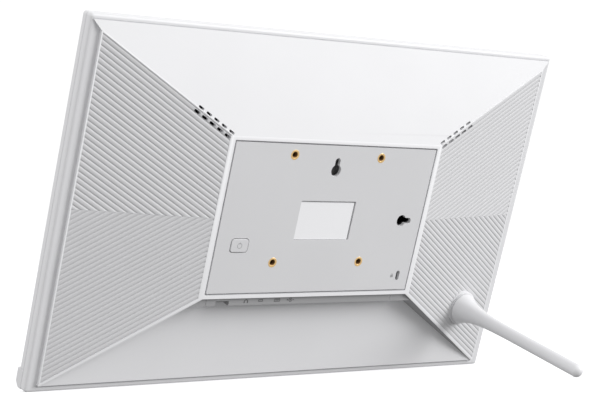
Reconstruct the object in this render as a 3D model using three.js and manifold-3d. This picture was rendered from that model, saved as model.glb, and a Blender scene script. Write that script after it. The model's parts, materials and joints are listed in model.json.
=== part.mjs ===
// Digital photo frame, 15.6 inch class, standing on its screw-in rear leg.
//
// Everything is built upright in the frame's own axes: X to the right as seen from the front,
// Y from the front face to the back, Z up from the bottom edge. The last lines lean the whole
// frame back onto its leg and put the origin under the middle of what it stands on.
// All sizes are in millimetres.

import * as THREE from 'three';
import { mergeVertices } from 'three/addons/utils/BufferGeometryUtils.js';
import Module from 'manifold-3d';

const wasm = await Module();
wasm.setup();

// ---------------------------------------------------------------- driving dimensions

const GAP = 0.3;                     // air between pieces that touch
const WALL = 2.2;                    // moulded wall of the rear cover

// outline and front
const SCREEN_WIDTH = 344.2;          // lit area of a 15.6 inch 16:9 screen
const SCREEN_HEIGHT = 193.6;
const BORDER_SIDE = 25.2;            // lit area to the outer edge
const BORDER_TOP = 25.4;
const CORNER_RADIUS = 2.0;
const BEZEL_WIDTH = 18.0;            // front face of the bezel
const BEZEL_DEPTH = 4.4;
const BEZEL_LIP = 1.9;               // bezel thickness in front of the glass
const GLASS_OVERLAP = 2.5;           // glass tucked behind the lip
const MIDDLE_DEPTH = 4.0;            // middle frame, front to back
const MIDDLE_BORDER = 12.0;          // middle frame, outer edge to opening

// corner feet at the bottom of the bezel
const FOOT_WIDTH = 14.0;
const FOOT_HEIGHT = 12.7;
const FOOT_PROUD = 2.7;              // how far a foot stands in front of the bezel
const FOOT_CHAMFER = 3.2;

// display stack, front to back
const GLASS_THICKNESS = 1.6;
const MAT_THICKNESS = 0.8;
const CELL_MARGIN = 4.0;             // lit area to the edge of the cell
const CELL_THICKNESS = 1.1;
const DIFFUSER_THICKNESS = 0.4;
const GUIDE_THICKNESS = 1.1;
const SHEET_INSET = 1.0;             // diffuser and guide, inside the cell's edge
const STRIP_HEIGHT = 2.0;            // LED strip along the guide's bottom edge
const TRAY_WALL = 0.8;
const TRAY_PLATE = 0.6;

// rear cover
const BODY_DEPTH = 29.0;             // front face to the back of the plateau
const RIM_THICKNESS = 1.3;           // flat rim around the raised back
const RIM_BEVEL = 0.9;
const PLATEAU_BOTTOM = 67.3;         // bottom edge of the frame to the plateau
const SLOPE_EDGE_DEPTH = 12.8;       // where the four slopes end above the rim
const SLOPE_MARGIN_SIDE = 7.8;
const SLOPE_MARGIN_TOP = 9.5;
const SLOPE_MARGIN_BOTTOM = 4.9;
const TOP_BEAD = 3.1;                // rim left above the top slope
const TOP_BEAD_SIDE = 1.8;
const TONGUE_THICKNESS = 1.6;        // locating rib inside the middle frame
const TONGUE_DEPTH = 2.4;

// ribs on the two side slopes
const RIB_PITCH = 3.6;               // measured up the frame
const RIB_DEPTH = 0.7;
const RIB_BORDER = 1.7;              // plain strip along the hips and the plateau
const RIB_EDGE = 0.8;                // plain strip along the outer edge

// speaker slots beside the upper hips
const SLOT_COUNT = 5;
const SLOT_PITCH = 5.85;             // measured across the frame
const SLOT_FIRST = 3.7;              // plateau corner to the first slot
const SLOT_LENGTH = 5.2;
const SLOT_WIDTH = 1.7;
const SLOT_BELOW_HIP = 2.7;
const SLOT_ABOVE_HIP = 1.5;
const SLOT_ARC_STEPS = 2;

// scoop under the plateau, with the sockets at its top
const SCOOP_BORDER = 1.9;            // plain strip along the lower hips
const SCOOP_LEAN = 5.0;              // how far its side walls lean in at the sockets
const SCOOP_FLOOR_TOP = 15.0;        // floor depth under the sockets
const SCOOP_FLOOR_BOTTOM = 12.4;     // floor depth at the rim
const SOCKET_STRIP_RECESS = 2.2;     // strip set in below the plateau
const SOCKET_STRIP_HEIGHT = 5.8;
const SOCKET_PLATE = 1.8;
const SOCKET_STRIP_INSET_LEFT = 13.8;   // plateau's left end to the strip
const SOCKET_STRIP_INSET_RIGHT = 6.8;
const SOCKET_STRIP_SILL = 0.5;       // window in the cover, below the strip

// mount panel
const PANEL_WIDTH = 173.0;
const PANEL_HEIGHT = 103.6;
const PANEL_THICKNESS = 2.4;
const PANEL_SEAM = 0.5;              // visible gap round the panel
const PANEL_LEDGE = 2.6;             // ledge that carries the panel
const PANEL_CORNER = 0.6;
const PLATEAU_BORDER_SIDE = 3.8;     // white border left around the panel
const PLATEAU_BORDER_TOP = 3.8;
const PLATEAU_BORDER_BOTTOM = 3.7;
const VESA_SPACING = 75.0;
const VESA_ABOVE_PANEL = 7.0;        // pattern centre above the panel's centre
const INSERT_RADIUS = 2.8;
const INSERT_BORE = 1.65;            // M4 thread core
const INSERT_LENGTH = 6.0;
const INSERT_SUNK = 0.15;            // inserts end just under the panel's face
const INSERT_HUB_WALL = 1.7;
const KEYHOLE_RADIUS = 4.1;
const KEYHOLE_SLOT = 4.2;            // slot width
const KEYHOLE_REACH = 6.6;           // round hole centre to the slot's end centre
const KEYHOLE_PLATE = 1.2;
const KEYHOLE_PLATE_MARGIN = 4.5;
const KEYHOLE_PLATE_CORNER = 1.5;
const STEEL_EDGE = 0.2;              // steel shows inside the moulded openings
const KEYHOLE_BELOW_INSERTS = 9.9;   // round hole under the upper inserts' line
const KEYHOLE_FROM_SIDE = 17.8;      // side keyhole, panel edge to its round hole
const KEYHOLE_BELOW_MIDDLE = 0.3;
const LOCK_SLOT_WIDTH = 3.0;
const LOCK_SLOT_HEIGHT = 7.2;
const LOCK_PLATE = 1.5;
const LOCK_PLATE_NEAR = 4.0;         // lock plate, slot centre to its edges
const LOCK_PLATE_FAR = 6.0;
const LOCK_PLATE_HALF_HEIGHT = 7.0;
const LOCK_FROM_SIDE = 9.6;          // panel edge to the slot's middle
const LOCK_FROM_BOTTOM = 10.5;
const LABEL_WIDTH = 47.5;
const LABEL_HEIGHT = 27.6;
const LABEL_RECESS = 0.9;
const LABEL_THICKNESS = 0.3;
const LABEL_CORNER = 0.8;
const LABEL_BELOW_MIDDLE = 0.8;

// power button and its switch
const BUTTON_WIDTH = 13.7;
const BUTTON_HEIGHT = 9.0;
const BUTTON_PROUD = 0.4;
const BUTTON_TRAVEL_ROOM = 0.7;      // free depth behind the button's collar
const BUTTON_CORNER = 2.0;
const BUTTON_FROM_SIDE = 18.8;       // panel edge to the button's middle
const BUTTON_FROM_BOTTOM = 33.3;
const COLLAR_THICKNESS = 1.2;
const COLLAR_MARGIN = 1.6;           // collar beyond the button's outline
const STEM_RADIUS = 2.2;
const SWITCH_SIZE = 6.0;
const SWITCH_BODY = 3.0;
const SWITCH_SEAT = 0.6;             // plunger's length inside the switch
const PLUNGER_RADIUS = 1.7;
const PLUNGER_LENGTH = 1.4;

// leg
const LEG_FROM_SIDE = 39.8;          // outer edge to the leg's axis
const LEG_UP = 51.2;
const LEG_END = 145.6;               // front face of the frame to the leg's tip
const LEG_RADIUS = 4.65;
const LEG_BASE_RADIUS = 12.0;
const LEG_FLARE = 12.0;              // length over which the flare dies away
const LEG_SEAT_RADIUS = 12.9;
const LEG_SEAT_PROUD = 0.07;         // seat above the slope at its highest edge
const LEG_BASE_EDGE = 0.4;           // small bevel round the base
const WASHER_THICKNESS = 1.0;
const STUD_RADIUS = 2.4;             // M6 thread core
const STUD_IN_LEG = 12.0;
const SOCKET_WALL = 1.3;
const LEG_BOSS_WALL = 2.5;
const LEG_BOSS_FLOOR = 1.0;
const LEG_BOSS_CLEAR = 0.7;          // display's rear face to the boss

// electronics
const BOARD_THICKNESS = 1.6;
const BOARD_FRONT = 15.8;
const BOARD_INSET_LEFT = 34.3;       // plateau's edges to the board
const BOARD_INSET_RIGHT = 6.3;
const BOARD_INSET_BOTTOM = 0.7;
const BOARD_HEIGHT = 78.0;
const BOARD_HOLE_INSET = 5.0;
const BOARD_HOLE_OVER_CARD = 22.0;   // one screw sits above the card slot
const SPACER_RADIUS = 2.6;
const SCREW_SHANK = 1.2;
const SCREW_HEAD = 2.4;
const SCREW_DEPTH = 3.0;             // thread in front of the board
const SHIELD = { left: -28, right: 24, bottom: 20, top: 56, thick: 3.0 };
const WIFI = { left: -50, right: -34, bottom: 14, top: 28, thick: 2.2 };
const ANTENNA = { left: 22, right: 62, bottom: 1.6, top: 11.6, thick: 0.5 };
const DRIVER_BELOW_TOP = 2.0;        // lit area's top edge to the driver board
const DRIVER_HEIGHT = 14.0;
const DRIVER_THICKNESS = 1.2;
const DRIVER_HALF = 105.0;
const RIBBON_HALF = 11.0;
const RIBBON_THICKNESS = 0.4;
const RIBBON_LANDING = 10.0;         // ribbon's overlap with the main board
const RIBBON_CLEAR = 6.0;            // where it bends over the board's top edge
const PORT_AXIS_DEPTH = 20.8;        // middle of the sockets, from the front face
const SPEAKER_WIDTH = 36.0;
const SPEAKER_HEIGHT = 24.0;
const SPEAKER_DEPTH = 9.0;
const SPEAKER_DROP = 2.4;            // speaker's middle below the plateau's top edge
const CONE_RADIUS = 9.5;
const CONE_HUB = 3.2;
const CONE_DEPTH = 2.6;
const GASKET_WALL = 1.8;
const GASKET_THICKNESS = 0.9;

// sockets: x is measured in from the strip's right end
const PORTS = {
  card: { inset: 13.0, half: 5.8, thick: 0.9 },
  audio: { inset: 32.5, radius: 1.8 },
  usbC: { inset: 44.7, half: 4.5, thick: 1.6 },
  usbA: { inset: 60.0, half: 6.4, thick: 2.6 },
  power: { inset: 74.5, radius: 2.5 },
};
const PORT_FLARE = 0.9;              // round openings in the strip, wider than the bore
const CARD_NOTCH = { half: 5.4, forward: 0.5, height: 3.2 };
const CARD_BODY = { half: 7.0, forward: 1.3, back: 0.4, height: 14.0, side: 0.2 };
const CARD_SLOT = { forward: 0.7, back: 0.1, height: 12.0 };
const AUDIO_BODY = { half: 3.5, height: 12.0, bore: 10.0 };
const USB_C_BODY = { height: 7.5, bore: 6.0, wall: 0.3 };
const USB_C_TONGUE = { half: 3.2, thick: 0.35, inset: 1.2, height: 7.0 };
const USB_A_BODY = { side: 0.6, height: 12.5, bore: 10.0, wall: 0.1 };
const POWER_BODY = { half: 4.5, height: 12.0, bore: 9.5 };
const POWER_PIN = { radius: 1.0, inset: 0.8, height: 10.0 };

// ---------------------------------------------------------------- derived places

const FRAME_WIDTH = SCREEN_WIDTH + 2 * BORDER_SIDE;
const FRAME_HEIGHT = SCREEN_HEIGHT + 2 * BORDER_TOP;
const HALF_WIDTH = FRAME_WIDTH / 2;
const MID_HEIGHT = FRAME_HEIGHT / 2;
const MIDDLE_FRONT = BEZEL_DEPTH + GAP;
const MIDDLE_BACK = MIDDLE_FRONT + MIDDLE_DEPTH;
const COVER_FRONT = MIDDLE_BACK + GAP;
const RIM_BACK = COVER_FRONT + RIM_THICKNESS;
const GLASS_FRONT = BEZEL_LIP + GAP;
const MAT_FRONT = GLASS_FRONT + GLASS_THICKNESS + GAP;
const CELL_FRONT = MAT_FRONT + MAT_THICKNESS + GAP;
const DIFFUSER_FRONT = CELL_FRONT + CELL_THICKNESS + GAP;
const GUIDE_FRONT = DIFFUSER_FRONT + DIFFUSER_THICKNESS + GAP;
const TRAY_FRONT = GUIDE_FRONT + GUIDE_THICKNESS + GAP;
const TRAY_BACK = TRAY_FRONT + TRAY_PLATE;
const PLATEAU_HALF = PANEL_WIDTH / 2 + PLATEAU_BORDER_SIDE;
const PANEL_MID = PLATEAU_BOTTOM + PLATEAU_BORDER_BOTTOM + PANEL_HEIGHT / 2;
const PLATEAU_TOP = PANEL_MID + PANEL_HEIGHT / 2 + PLATEAU_BORDER_TOP;
const PANEL_FRONT = BODY_DEPTH - PANEL_THICKNESS;
const VESA_MID = PANEL_MID + VESA_ABOVE_PANEL;
const LEDGE_FRONT = PANEL_FRONT - GAP - WALL;
const STRIP_BACK = BODY_DEPTH - SOCKET_STRIP_RECESS;
const STRIP_BOTTOM = PLATEAU_BOTTOM - SOCKET_STRIP_HEIGHT;
const SOCKET_STRIP_LEFT = SOCKET_STRIP_INSET_LEFT - PLATEAU_HALF;
const SOCKET_STRIP_RIGHT = PLATEAU_HALF - SOCKET_STRIP_INSET_RIGHT;
const BOARD_BACK = BOARD_FRONT + BOARD_THICKNESS;
const BOARD_LEFT = BOARD_INSET_LEFT - PLATEAU_HALF;
const BOARD_RIGHT = PLATEAU_HALF - BOARD_INSET_RIGHT;
const BOARD_BOTTOM = PLATEAU_BOTTOM + BOARD_INSET_BOTTOM;
const BOARD_TOP = BOARD_BOTTOM + BOARD_HEIGHT;

// how far each slope spreads for every millimetre towards the front
const SLOPE_RISE = BODY_DEPTH - SLOPE_EDGE_DEPTH;
const RUN_SIDE = (HALF_WIDTH - SLOPE_MARGIN_SIDE - PLATEAU_HALF) / SLOPE_RISE;
const RUN_TOP = (FRAME_HEIGHT - SLOPE_MARGIN_TOP - PLATEAU_TOP) / SLOPE_RISE;
const RUN_BOTTOM = (PLATEAU_BOTTOM - SLOPE_MARGIN_BOTTOM) / SLOPE_RISE;

// depth of a side slope at x, and height of the edges where it meets the top slope and the scoop
const wingDepth = (x) => BODY_DEPTH - (Math.abs(x) - PLATEAU_HALF) / RUN_SIDE;
const upperHip = (x) => PLATEAU_TOP + (Math.abs(x) - PLATEAU_HALF) * RUN_TOP / RUN_SIDE;
const lowerHip = (x) => PLATEAU_BOTTOM - (Math.abs(x) - PLATEAU_HALF) * RUN_BOTTOM / RUN_SIDE;

// the leg's flat seat clears the slope all round
const LEG_ACROSS = LEG_FROM_SIDE - HALF_WIDTH;
const LEG_SEAT_DEPTH = wingDepth(-LEG_ACROSS - LEG_SEAT_RADIUS) + LEG_SEAT_PROUD;
const WASHER_FRONT = LEG_SEAT_DEPTH + GAP;
const LEG_FRONT = WASHER_FRONT + WASHER_THICKNESS + GAP;

// ---------------------------------------------------------------- materials

const OVERRUN = 0.01;                // cutters run past the face they open

const finish = (color, roughness, metalness = 0) => ({ color, roughness, metalness });
const WHITE = finish(0xf0f0f2, 0.45);
const PANEL_GREY = finish(0xcfcfd2, 0.55);
const SOFT_WHITE = finish(0xe4e4e4, 0.8);
const MAT_WHITE = finish(0xf4f2ec, 0.9);
const GLASS = finish(0xdfe8ea, 0.08);
const SCREEN = finish(0x0c0d10, 0.25);
const FILM = finish(0xf3f6f8, 0.4);
const BRASS = finish(0xc8963c, 0.35, 1);
const STEEL = finish(0x9b9ea2, 0.4, 1);
const ALUMINIUM = finish(0xb9bcbf, 0.5, 1);
const BLACK_PLASTIC = finish(0x18191b, 0.5);
const BOARD_GREEN = finish(0x1f5a38, 0.6);
const LABEL = finish(0xe9e9eb, 0.6);
const FOAM = finish(0x2b2c2e, 0.95);

// ---------------------------------------------------------------- modelling helpers

function solid(geometry) {
  const bare = geometry.index ? geometry.toNonIndexed() : geometry.clone();
  bare.deleteAttribute('normal');
  bare.deleteAttribute('uv');
  const merged = mergeVertices(bare, 1e-4);
  return new wasm.Manifold(new wasm.Mesh({
    numProp: 3,
    vertProperties: new Float32Array(merged.attributes.position.array),
    triVerts: new Uint32Array(merged.index.array),
  }));
}

function box(x0, x1, y0, y1, z0, z1) {
  const geometry = new THREE.BoxGeometry(x1 - x0, y1 - y0, z1 - z0);
  geometry.translate((x0 + x1) / 2, (y0 + y1) / 2, (z0 + z1) / 2);
  return solid(geometry);
}

// an outline drawn in X and Z, filled from depth y0 to depth y1
function plate(shape, y0, y1, bevel = 0) {
  const geometry = new THREE.ExtrudeGeometry(shape, {
    depth: y1 - y0 - 2 * bevel,
    bevelEnabled: bevel > 0,
    bevelThickness: bevel,
    bevelSize: bevel,
    bevelOffset: -bevel,
    bevelSegments: 1,
    curveSegments: 3,
  });
  geometry.rotateX(Math.PI / 2);
  geometry.translate(0, y1 - bevel, 0);
  return solid(geometry);
}

// an outline drawn in Y and Z, filled from x0 to x1
function beam(points, x0, x1) {
  const shape = new THREE.Shape(points.map(([y, z]) => new THREE.Vector2(y, z)));
  const geometry = new THREE.ExtrudeGeometry(shape, { depth: x1 - x0, bevelEnabled: false });
  geometry.applyMatrix4(new THREE.Matrix4().makeBasis(
    new THREE.Vector3(0, 1, 0), new THREE.Vector3(0, 0, 1), new THREE.Vector3(1, 0, 0)));
  geometry.translate(x0, 0, 0);
  return solid(geometry);
}

function roundedRectangle(x0, x1, z0, z1, radius) {
  const shape = new THREE.Shape();
  shape.moveTo(x0 + radius, z0);
  shape.lineTo(x1 - radius, z0);
  shape.absarc(x1 - radius, z0 + radius, radius, -Math.PI / 2, 0);
  shape.lineTo(x1, z1 - radius);
  shape.absarc(x1 - radius, z1 - radius, radius, 0, Math.PI / 2);
  shape.lineTo(x0 + radius, z1);
  shape.absarc(x0 + radius, z1 - radius, radius, Math.PI / 2, Math.PI);
  shape.lineTo(x0, z0 + radius);
  shape.absarc(x0 + radius, z0 + radius, radius, Math.PI, 1.5 * Math.PI);
  return shape;
}

// a rectangular plate about the middle of the frame, inset from its outer edge
function framePlate(inset, y0, y1) {
  return box(inset - HALF_WIDTH, HALF_WIDTH - inset, y0, y1, inset, FRAME_HEIGHT - inset);
}

// the full outline of the frame, with its rounded corners
function outerPlate(y0, y1, bevel = 0) {
  const shape = roundedRectangle(-HALF_WIDTH, HALF_WIDTH, 0, FRAME_HEIGHT, CORNER_RADIUS);
  return plate(shape, y0, y1, bevel);
}

// a solid of revolution about an axis along Y through (x, z); the profile is [radius, depth]
function turned(profile, x, z, sides = 16) {
  const points = profile.map(([radius, depth]) => new THREE.Vector2(radius, depth));
  const geometry = new THREE.LatheGeometry(points, sides);
  geometry.translate(x, 0, z);
  return solid(geometry);
}

function rod(radius, y0, y1, x, z, sides = 16) {
  return turned([[0, y0], [radius, y0], [radius, y1], [0, y1]], x, z, sides);
}

// a cylinder along Z
function standingRod(radius, x, y, z0, z1, sides = 14) {
  const geometry = new THREE.CylinderGeometry(radius, radius, z1 - z0, sides);
  geometry.rotateX(Math.PI / 2);
  geometry.translate(x, y, (z0 + z1) / 2);
  return solid(geometry);
}

const CORNERS = [
  [0, 0, 0], [0, 0, 1], [0, 1, 0], [0, 1, 1], [1, 0, 0], [1, 0, 1], [1, 1, 0], [1, 1, 1],
];
const SIDES = [
  [0, 1, 3, 2], [4, 6, 7, 5], [0, 4, 5, 1], [2, 3, 7, 6], [0, 2, 6, 4], [1, 5, 7, 3],
];

// a six-sided block whose corners come from corner(right, back, upper), each 0 or 1
function block(corner) {
  const geometry = new THREE.BufferGeometry();
  const positions = CORNERS.flatMap(([i, j, k]) => corner(i, j, k));
  geometry.setAttribute('position', new THREE.Float32BufferAttribute(positions, 3));
  geometry.setIndex(SIDES.flatMap(([a, b, c, d]) => [a, b, c, a, c, d]));
  return solid(geometry);
}

const frame = new THREE.Group();

function add(name, shape, look) {
  const source = shape.getMesh();
  const geometry = new THREE.BufferGeometry();
  geometry.setAttribute('position', new THREE.BufferAttribute(
    new Float32Array(source.vertProperties), 3));
  geometry.setIndex(new THREE.BufferAttribute(new Uint32Array(source.triVerts), 1));
  geometry.computeVertexNormals();
  const mesh = new THREE.Mesh(geometry, new THREE.MeshStandardMaterial(look));
  mesh.name = name;
  frame.add(mesh);
  return mesh;
}

// ---------------------------------------------------------------- shape of the raised back

// half width, bottom and top of the raised back at a given depth, moved in by a wall thickness
function slopesAt(depth, wall = 0) {
  const forward = BODY_DEPTH - depth;
  return {
    half: PLATEAU_HALF + forward * RUN_SIDE - wall * Math.hypot(1, RUN_SIDE),
    bottom: PLATEAU_BOTTOM - forward * RUN_BOTTOM + wall * Math.hypot(1, RUN_BOTTOM),
    top: PLATEAU_TOP + forward * RUN_TOP - wall * Math.hypot(1, RUN_TOP),
  };
}

function pyramid(front, back, wall = 0) {
  const levels = [slopesAt(front, wall), slopesAt(back, wall)];
  return block((right, rear, upper) => {
    const level = levels[rear];
    const x = right ? level.half : -level.half;
    return [x, rear ? back : front, upper ? level.top : level.bottom];
  });
}

function raisedBack() {
  const wide = HALF_WIDTH - SLOPE_MARGIN_SIDE;
  const shoulder = FRAME_HEIGHT - SLOPE_MARGIN_TOP;
  const crown = FRAME_HEIGHT - TOP_BEAD;
  const crownHalf = HALF_WIDTH - TOP_BEAD_SIDE;
  const outline = [
    [-wide, SLOPE_MARGIN_BOTTOM], [wide, SLOPE_MARGIN_BOTTOM], [wide, shoulder],
    [crownHalf, crown], [-crownHalf, crown], [-wide, shoulder],
  ];
  const shape = new THREE.Shape(outline.map(([x, z]) => new THREE.Vector2(x, z)));
  return plate(shape, COVER_FRONT, BODY_DEPTH + WALL).intersect(pyramid(0, BODY_DEPTH));
}

// the space between the scoop's two leaning side walls, grown by a wall thickness
function scoopWedge(grow) {
  const lipHalf = PLATEAU_HALF - SCOOP_BORDER + grow;
  const rimHalf = HALF_WIDTH - SLOPE_MARGIN_SIDE - SCOOP_BORDER + grow;
  const perDepth = SCOOP_LEAN / (BODY_DEPTH - SCOOP_FLOOR_TOP);
  const perHeight = (rimHalf - lipHalf + perDepth * SLOPE_RISE)
    / (SLOPE_MARGIN_BOTTOM - PLATEAU_BOTTOM);
  const half = (depth, height) => lipHalf + perDepth * (depth - BODY_DEPTH)
    + perHeight * (height - PLATEAU_BOTTOM);
  const depths = [SCOOP_FLOOR_BOTTOM - 2 * WALL, BODY_DEPTH + 2 * WALL];
  const heights = [SLOPE_MARGIN_BOTTOM - 2 * WALL, PLATEAU_BOTTOM + 2 * WALL];
  return block((right, rear, upper) => {
    const depth = depths[rear];
    const height = heights[upper];
    return [(right ? 1 : -1) * half(depth, height), depth, height];
  });
}

// floor depth of the scoop: level near the rim, then curving up to the sockets
function scoopFloor(height) {
  const share = (height - SLOPE_MARGIN_BOTTOM) / (STRIP_BOTTOM - SLOPE_MARGIN_BOTTOM);
  return SCOOP_FLOOR_BOTTOM + (SCOOP_FLOOR_TOP - SCOOP_FLOOR_BOTTOM) * share * share;
}

function scoop(grow) {
  const steps = 6;
  const floor = [];
  for (let i = 0; i <= steps; i += 1) {
    const height = STRIP_BOTTOM + (SLOPE_MARGIN_BOTTOM - STRIP_BOTTOM) * i / steps;
    floor.push([scoopFloor(height) - grow, height + (i === 0 ? grow : 0)]);
  }
  const lowest = SLOPE_MARGIN_BOTTOM - grow;
  const outside = BODY_DEPTH + 2 * WALL;
  const profile = [
    [outside, PLATEAU_BOTTOM + grow],
    [STRIP_BACK - grow, PLATEAU_BOTTOM + grow],
    [STRIP_BACK - grow, STRIP_BOTTOM + grow],
    ...floor,
    [SCOOP_FLOOR_BOTTOM - grow, lowest - OVERRUN],
    [outside, lowest - OVERRUN],
  ];
  return beam(profile, -HALF_WIDTH, HALF_WIDTH).intersect(scoopWedge(grow));
}

// grooves parallel to the hips on one side slope, meeting in chevrons level with the panel
function ribGrooves(side) {
  const outer = HALF_WIDTH - SLOPE_MARGIN_SIDE - RIB_EDGE;
  const inner = PLATEAU_HALF + RIB_BORDER;
  const middle = (inner + outer) / 2;
  const length = 1.4 * (outer - inner);
  const edge = RIB_DEPTH * Math.SQRT2;
  let all = null;
  for (const [hip, up] of [[upperHip, 1], [lowerHip, -1]]) {
    const start = new THREE.Vector3(side * inner, wingDepth(inner), hip(inner));
    const end = new THREE.Vector3(side * outer, wingDepth(outer), hip(outer));
    const along = end.clone().sub(start).normalize();
    const normal = new THREE.Vector3(side / RUN_SIDE, 1, 0).normalize();
    const across = normal.clone().cross(along);
    const basis = new THREE.Matrix4().makeBasis(along, across, normal);
    const corner = (x, inset) => [side * x, hip(x) - up * inset];
    const field = new THREE.Shape([
      corner(inner, RIB_BORDER), corner(outer, RIB_BORDER),
      [side * outer, PANEL_MID], [side * inner, PANEL_MID],
    ].map(([x, z]) => new THREE.Vector2(x, z)));
    const limits = plate(field, 0, BODY_DEPTH + WALL);
    const count = Math.floor((Math.abs(hip(outer) - PANEL_MID) - RIB_BORDER) / RIB_PITCH);
    for (let i = 0; i < count; i += 1) {
      const groove = new THREE.BoxGeometry(length, edge, edge);
      groove.rotateX(Math.PI / 4);
      groove.applyMatrix4(basis);
      const drop = up * (RIB_BORDER + (i + 0.5) * RIB_PITCH);
      groove.translate(side * middle, wingDepth(middle), hip(middle) - drop);
      const cut = solid(groove).intersect(limits);
      all = all ? all.add(cut) : cut;
    }
  }
  return all;
}

// a slot with round ends, cut along the hip through the wall
function speakerSlot(x, z) {
  const straight = SLOT_LENGTH - SLOT_WIDTH;
  const radius = SLOT_WIDTH / 2;
  const shape = new THREE.Shape();
  shape.absarc(straight / 2, 0, radius, -Math.PI / 2, Math.PI / 2);
  shape.absarc(-straight / 2, 0, radius, Math.PI / 2, 1.5 * Math.PI);
  const geometry = new THREE.ExtrudeGeometry(shape, {
    depth: 4 * WALL, bevelEnabled: false, curveSegments: SLOT_ARC_STEPS,
  });
  geometry.rotateZ(Math.atan2(RUN_TOP, RUN_SIDE) * Math.sign(x));
  geometry.rotateX(Math.PI / 2);
  geometry.translate(x, wingDepth(x) + WALL, z);
  return solid(geometry);
}

function speakerSlots() {
  let all = null;
  for (const side of [-1, 1]) {
    for (let i = 0; i < SLOT_COUNT; i += 1) {
      const x = side * (PLATEAU_HALF + SLOT_FIRST + i * SLOT_PITCH);
      for (const offset of [-SLOT_BELOW_HIP, SLOT_ABOVE_HIP]) {
        const slot = speakerSlot(x, upperHip(x) + offset);
        all = all ? all.add(slot) : slot;
      }
    }
  }
  return all;
}

// ---------------------------------------------------------------- front: bezel, feet, middle

function footNotch(side, grow) {
  const inner = HALF_WIDTH - FOOT_WIDTH - grow;
  const outer = HALF_WIDTH + (grow > 0 ? 1 : 0);
  const x0 = side > 0 ? inner : -outer;
  return box(x0, x0 + outer - inner, -1, BEZEL_DEPTH + 1, -1, FOOT_HEIGHT + grow);
}

function buildBezel() {
  const glassInset = BEZEL_WIDTH - GLASS_OVERLAP - GAP;
  let bezel = outerPlate(0, BEZEL_DEPTH);
  bezel = bezel.subtract(framePlate(BEZEL_WIDTH, -1, BEZEL_DEPTH + 1));
  bezel = bezel.subtract(framePlate(glassInset, BEZEL_LIP, BEZEL_DEPTH + 1));
  for (const side of [-1, 1]) bezel = bezel.subtract(footNotch(side, GAP));
  add('front_bezel', bezel, WHITE);
}

function buildFoot(name, side) {
  const profile = [
    [-FOOT_PROUD, FOOT_HEIGHT], [-FOOT_PROUD, FOOT_CHAMFER],
    [FOOT_CHAMFER - FOOT_PROUD, 0], [BEZEL_DEPTH, 0], [BEZEL_DEPTH, FOOT_HEIGHT],
  ];
  const inner = side > 0 ? HALF_WIDTH - FOOT_WIDTH : -HALF_WIDTH;
  add(name, beam(profile, inner, inner + FOOT_WIDTH), SOFT_WHITE);
}

function buildMiddleFrame() {
  const ring = outerPlate(MIDDLE_FRONT, MIDDLE_BACK)
    .subtract(framePlate(MIDDLE_BORDER, MIDDLE_FRONT - 1, MIDDLE_BACK + 1));
  add('middle_frame', ring, WHITE);
}

// ---------------------------------------------------------------- display stack

// a rectangle about the middle of the screen, grown beyond the lit area
function screenPlate(grow, y0, y1) {
  const half = SCREEN_WIDTH / 2 + grow;
  const tall = SCREEN_HEIGHT / 2 + grow;
  return box(-half, half, y0, y1, MID_HEIGHT - tall, MID_HEIGHT + tall);
}

function buildDisplay() {
  const glassInset = BEZEL_WIDTH - GLASS_OVERLAP;
  add('cover_glass', framePlate(glassInset, GLASS_FRONT, GLASS_FRONT + GLASS_THICKNESS), GLASS);
  const mat = framePlate(glassInset, MAT_FRONT, MAT_FRONT + MAT_THICKNESS)
    .subtract(screenPlate(0, MAT_FRONT - 1, MAT_FRONT + MAT_THICKNESS + 1));
  add('mat_board', mat, MAT_WHITE);
  add('lcd_cell', screenPlate(CELL_MARGIN, CELL_FRONT, CELL_FRONT + CELL_THICKNESS), SCREEN);

  const sheet = CELL_MARGIN - SHEET_INSET;
  const diffuserBack = DIFFUSER_FRONT + DIFFUSER_THICKNESS;
  add('diffuser_sheet', screenPlate(sheet, DIFFUSER_FRONT, diffuserBack), FILM);
  const guideBack = GUIDE_FRONT + GUIDE_THICKNESS;
  const half = SCREEN_WIDTH / 2 + sheet;
  const bottom = MID_HEIGHT - SCREEN_HEIGHT / 2 - sheet;
  const top = MID_HEIGHT + SCREEN_HEIGHT / 2 + sheet;
  const guideBottom = bottom + STRIP_HEIGHT + GAP;
  add('light_guide', box(-half, half, GUIDE_FRONT, guideBack, guideBottom, top), FILM);
  const strip = box(-half, half, GUIDE_FRONT, guideBack, bottom, bottom + STRIP_HEIGHT);
  add('led_strip', strip, BLACK_PLASTIC);

  const trayInside = CELL_MARGIN + GAP;
  const tray = screenPlate(trayInside + TRAY_WALL, CELL_FRONT, TRAY_BACK)
    .subtract(screenPlate(trayInside, CELL_FRONT - 1, TRAY_FRONT));
  add('lcd_tray', tray, ALUMINIUM);
}

const DRIVER_TOP = MID_HEIGHT + SCREEN_HEIGHT / 2 - DRIVER_BELOW_TOP;

function buildDriverBoard() {
  const front = TRAY_BACK + GAP;
  const back = front + DRIVER_THICKNESS;
  const bottom = DRIVER_TOP - DRIVER_HEIGHT;
  add('lcd_driver_board', box(-DRIVER_HALF, DRIVER_HALF, front, back, bottom, DRIVER_TOP),
    BOARD_GREEN);
  // flat cable from the driver board down to the rear face of the main board
  const near = back + GAP;
  const far = BOARD_BACK + GAP;
  const path = [
    [near, DRIVER_TOP - 3], [near, bottom - 4],
    [far, BOARD_TOP + RIBBON_CLEAR], [far, BOARD_TOP - RIBBON_LANDING],
  ];
  const rearSide = path.map(([y, z]) => [y + RIBBON_THICKNESS, z]).reverse();
  add('lcd_ribbon', beam([...path, ...rearSide], -RIBBON_HALF, RIBBON_HALF), LABEL);
}

// ---------------------------------------------------------------- rear cover

const SOCKET_RADIUS = STUD_RADIUS + GAP + SOCKET_WALL;
const SOCKET_FRONT = TRAY_BACK + LEG_BOSS_CLEAR + LEG_BOSS_FLOOR + GAP;
const LEG_BOSS_RADIUS = SOCKET_RADIUS + LEG_BOSS_WALL;

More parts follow.
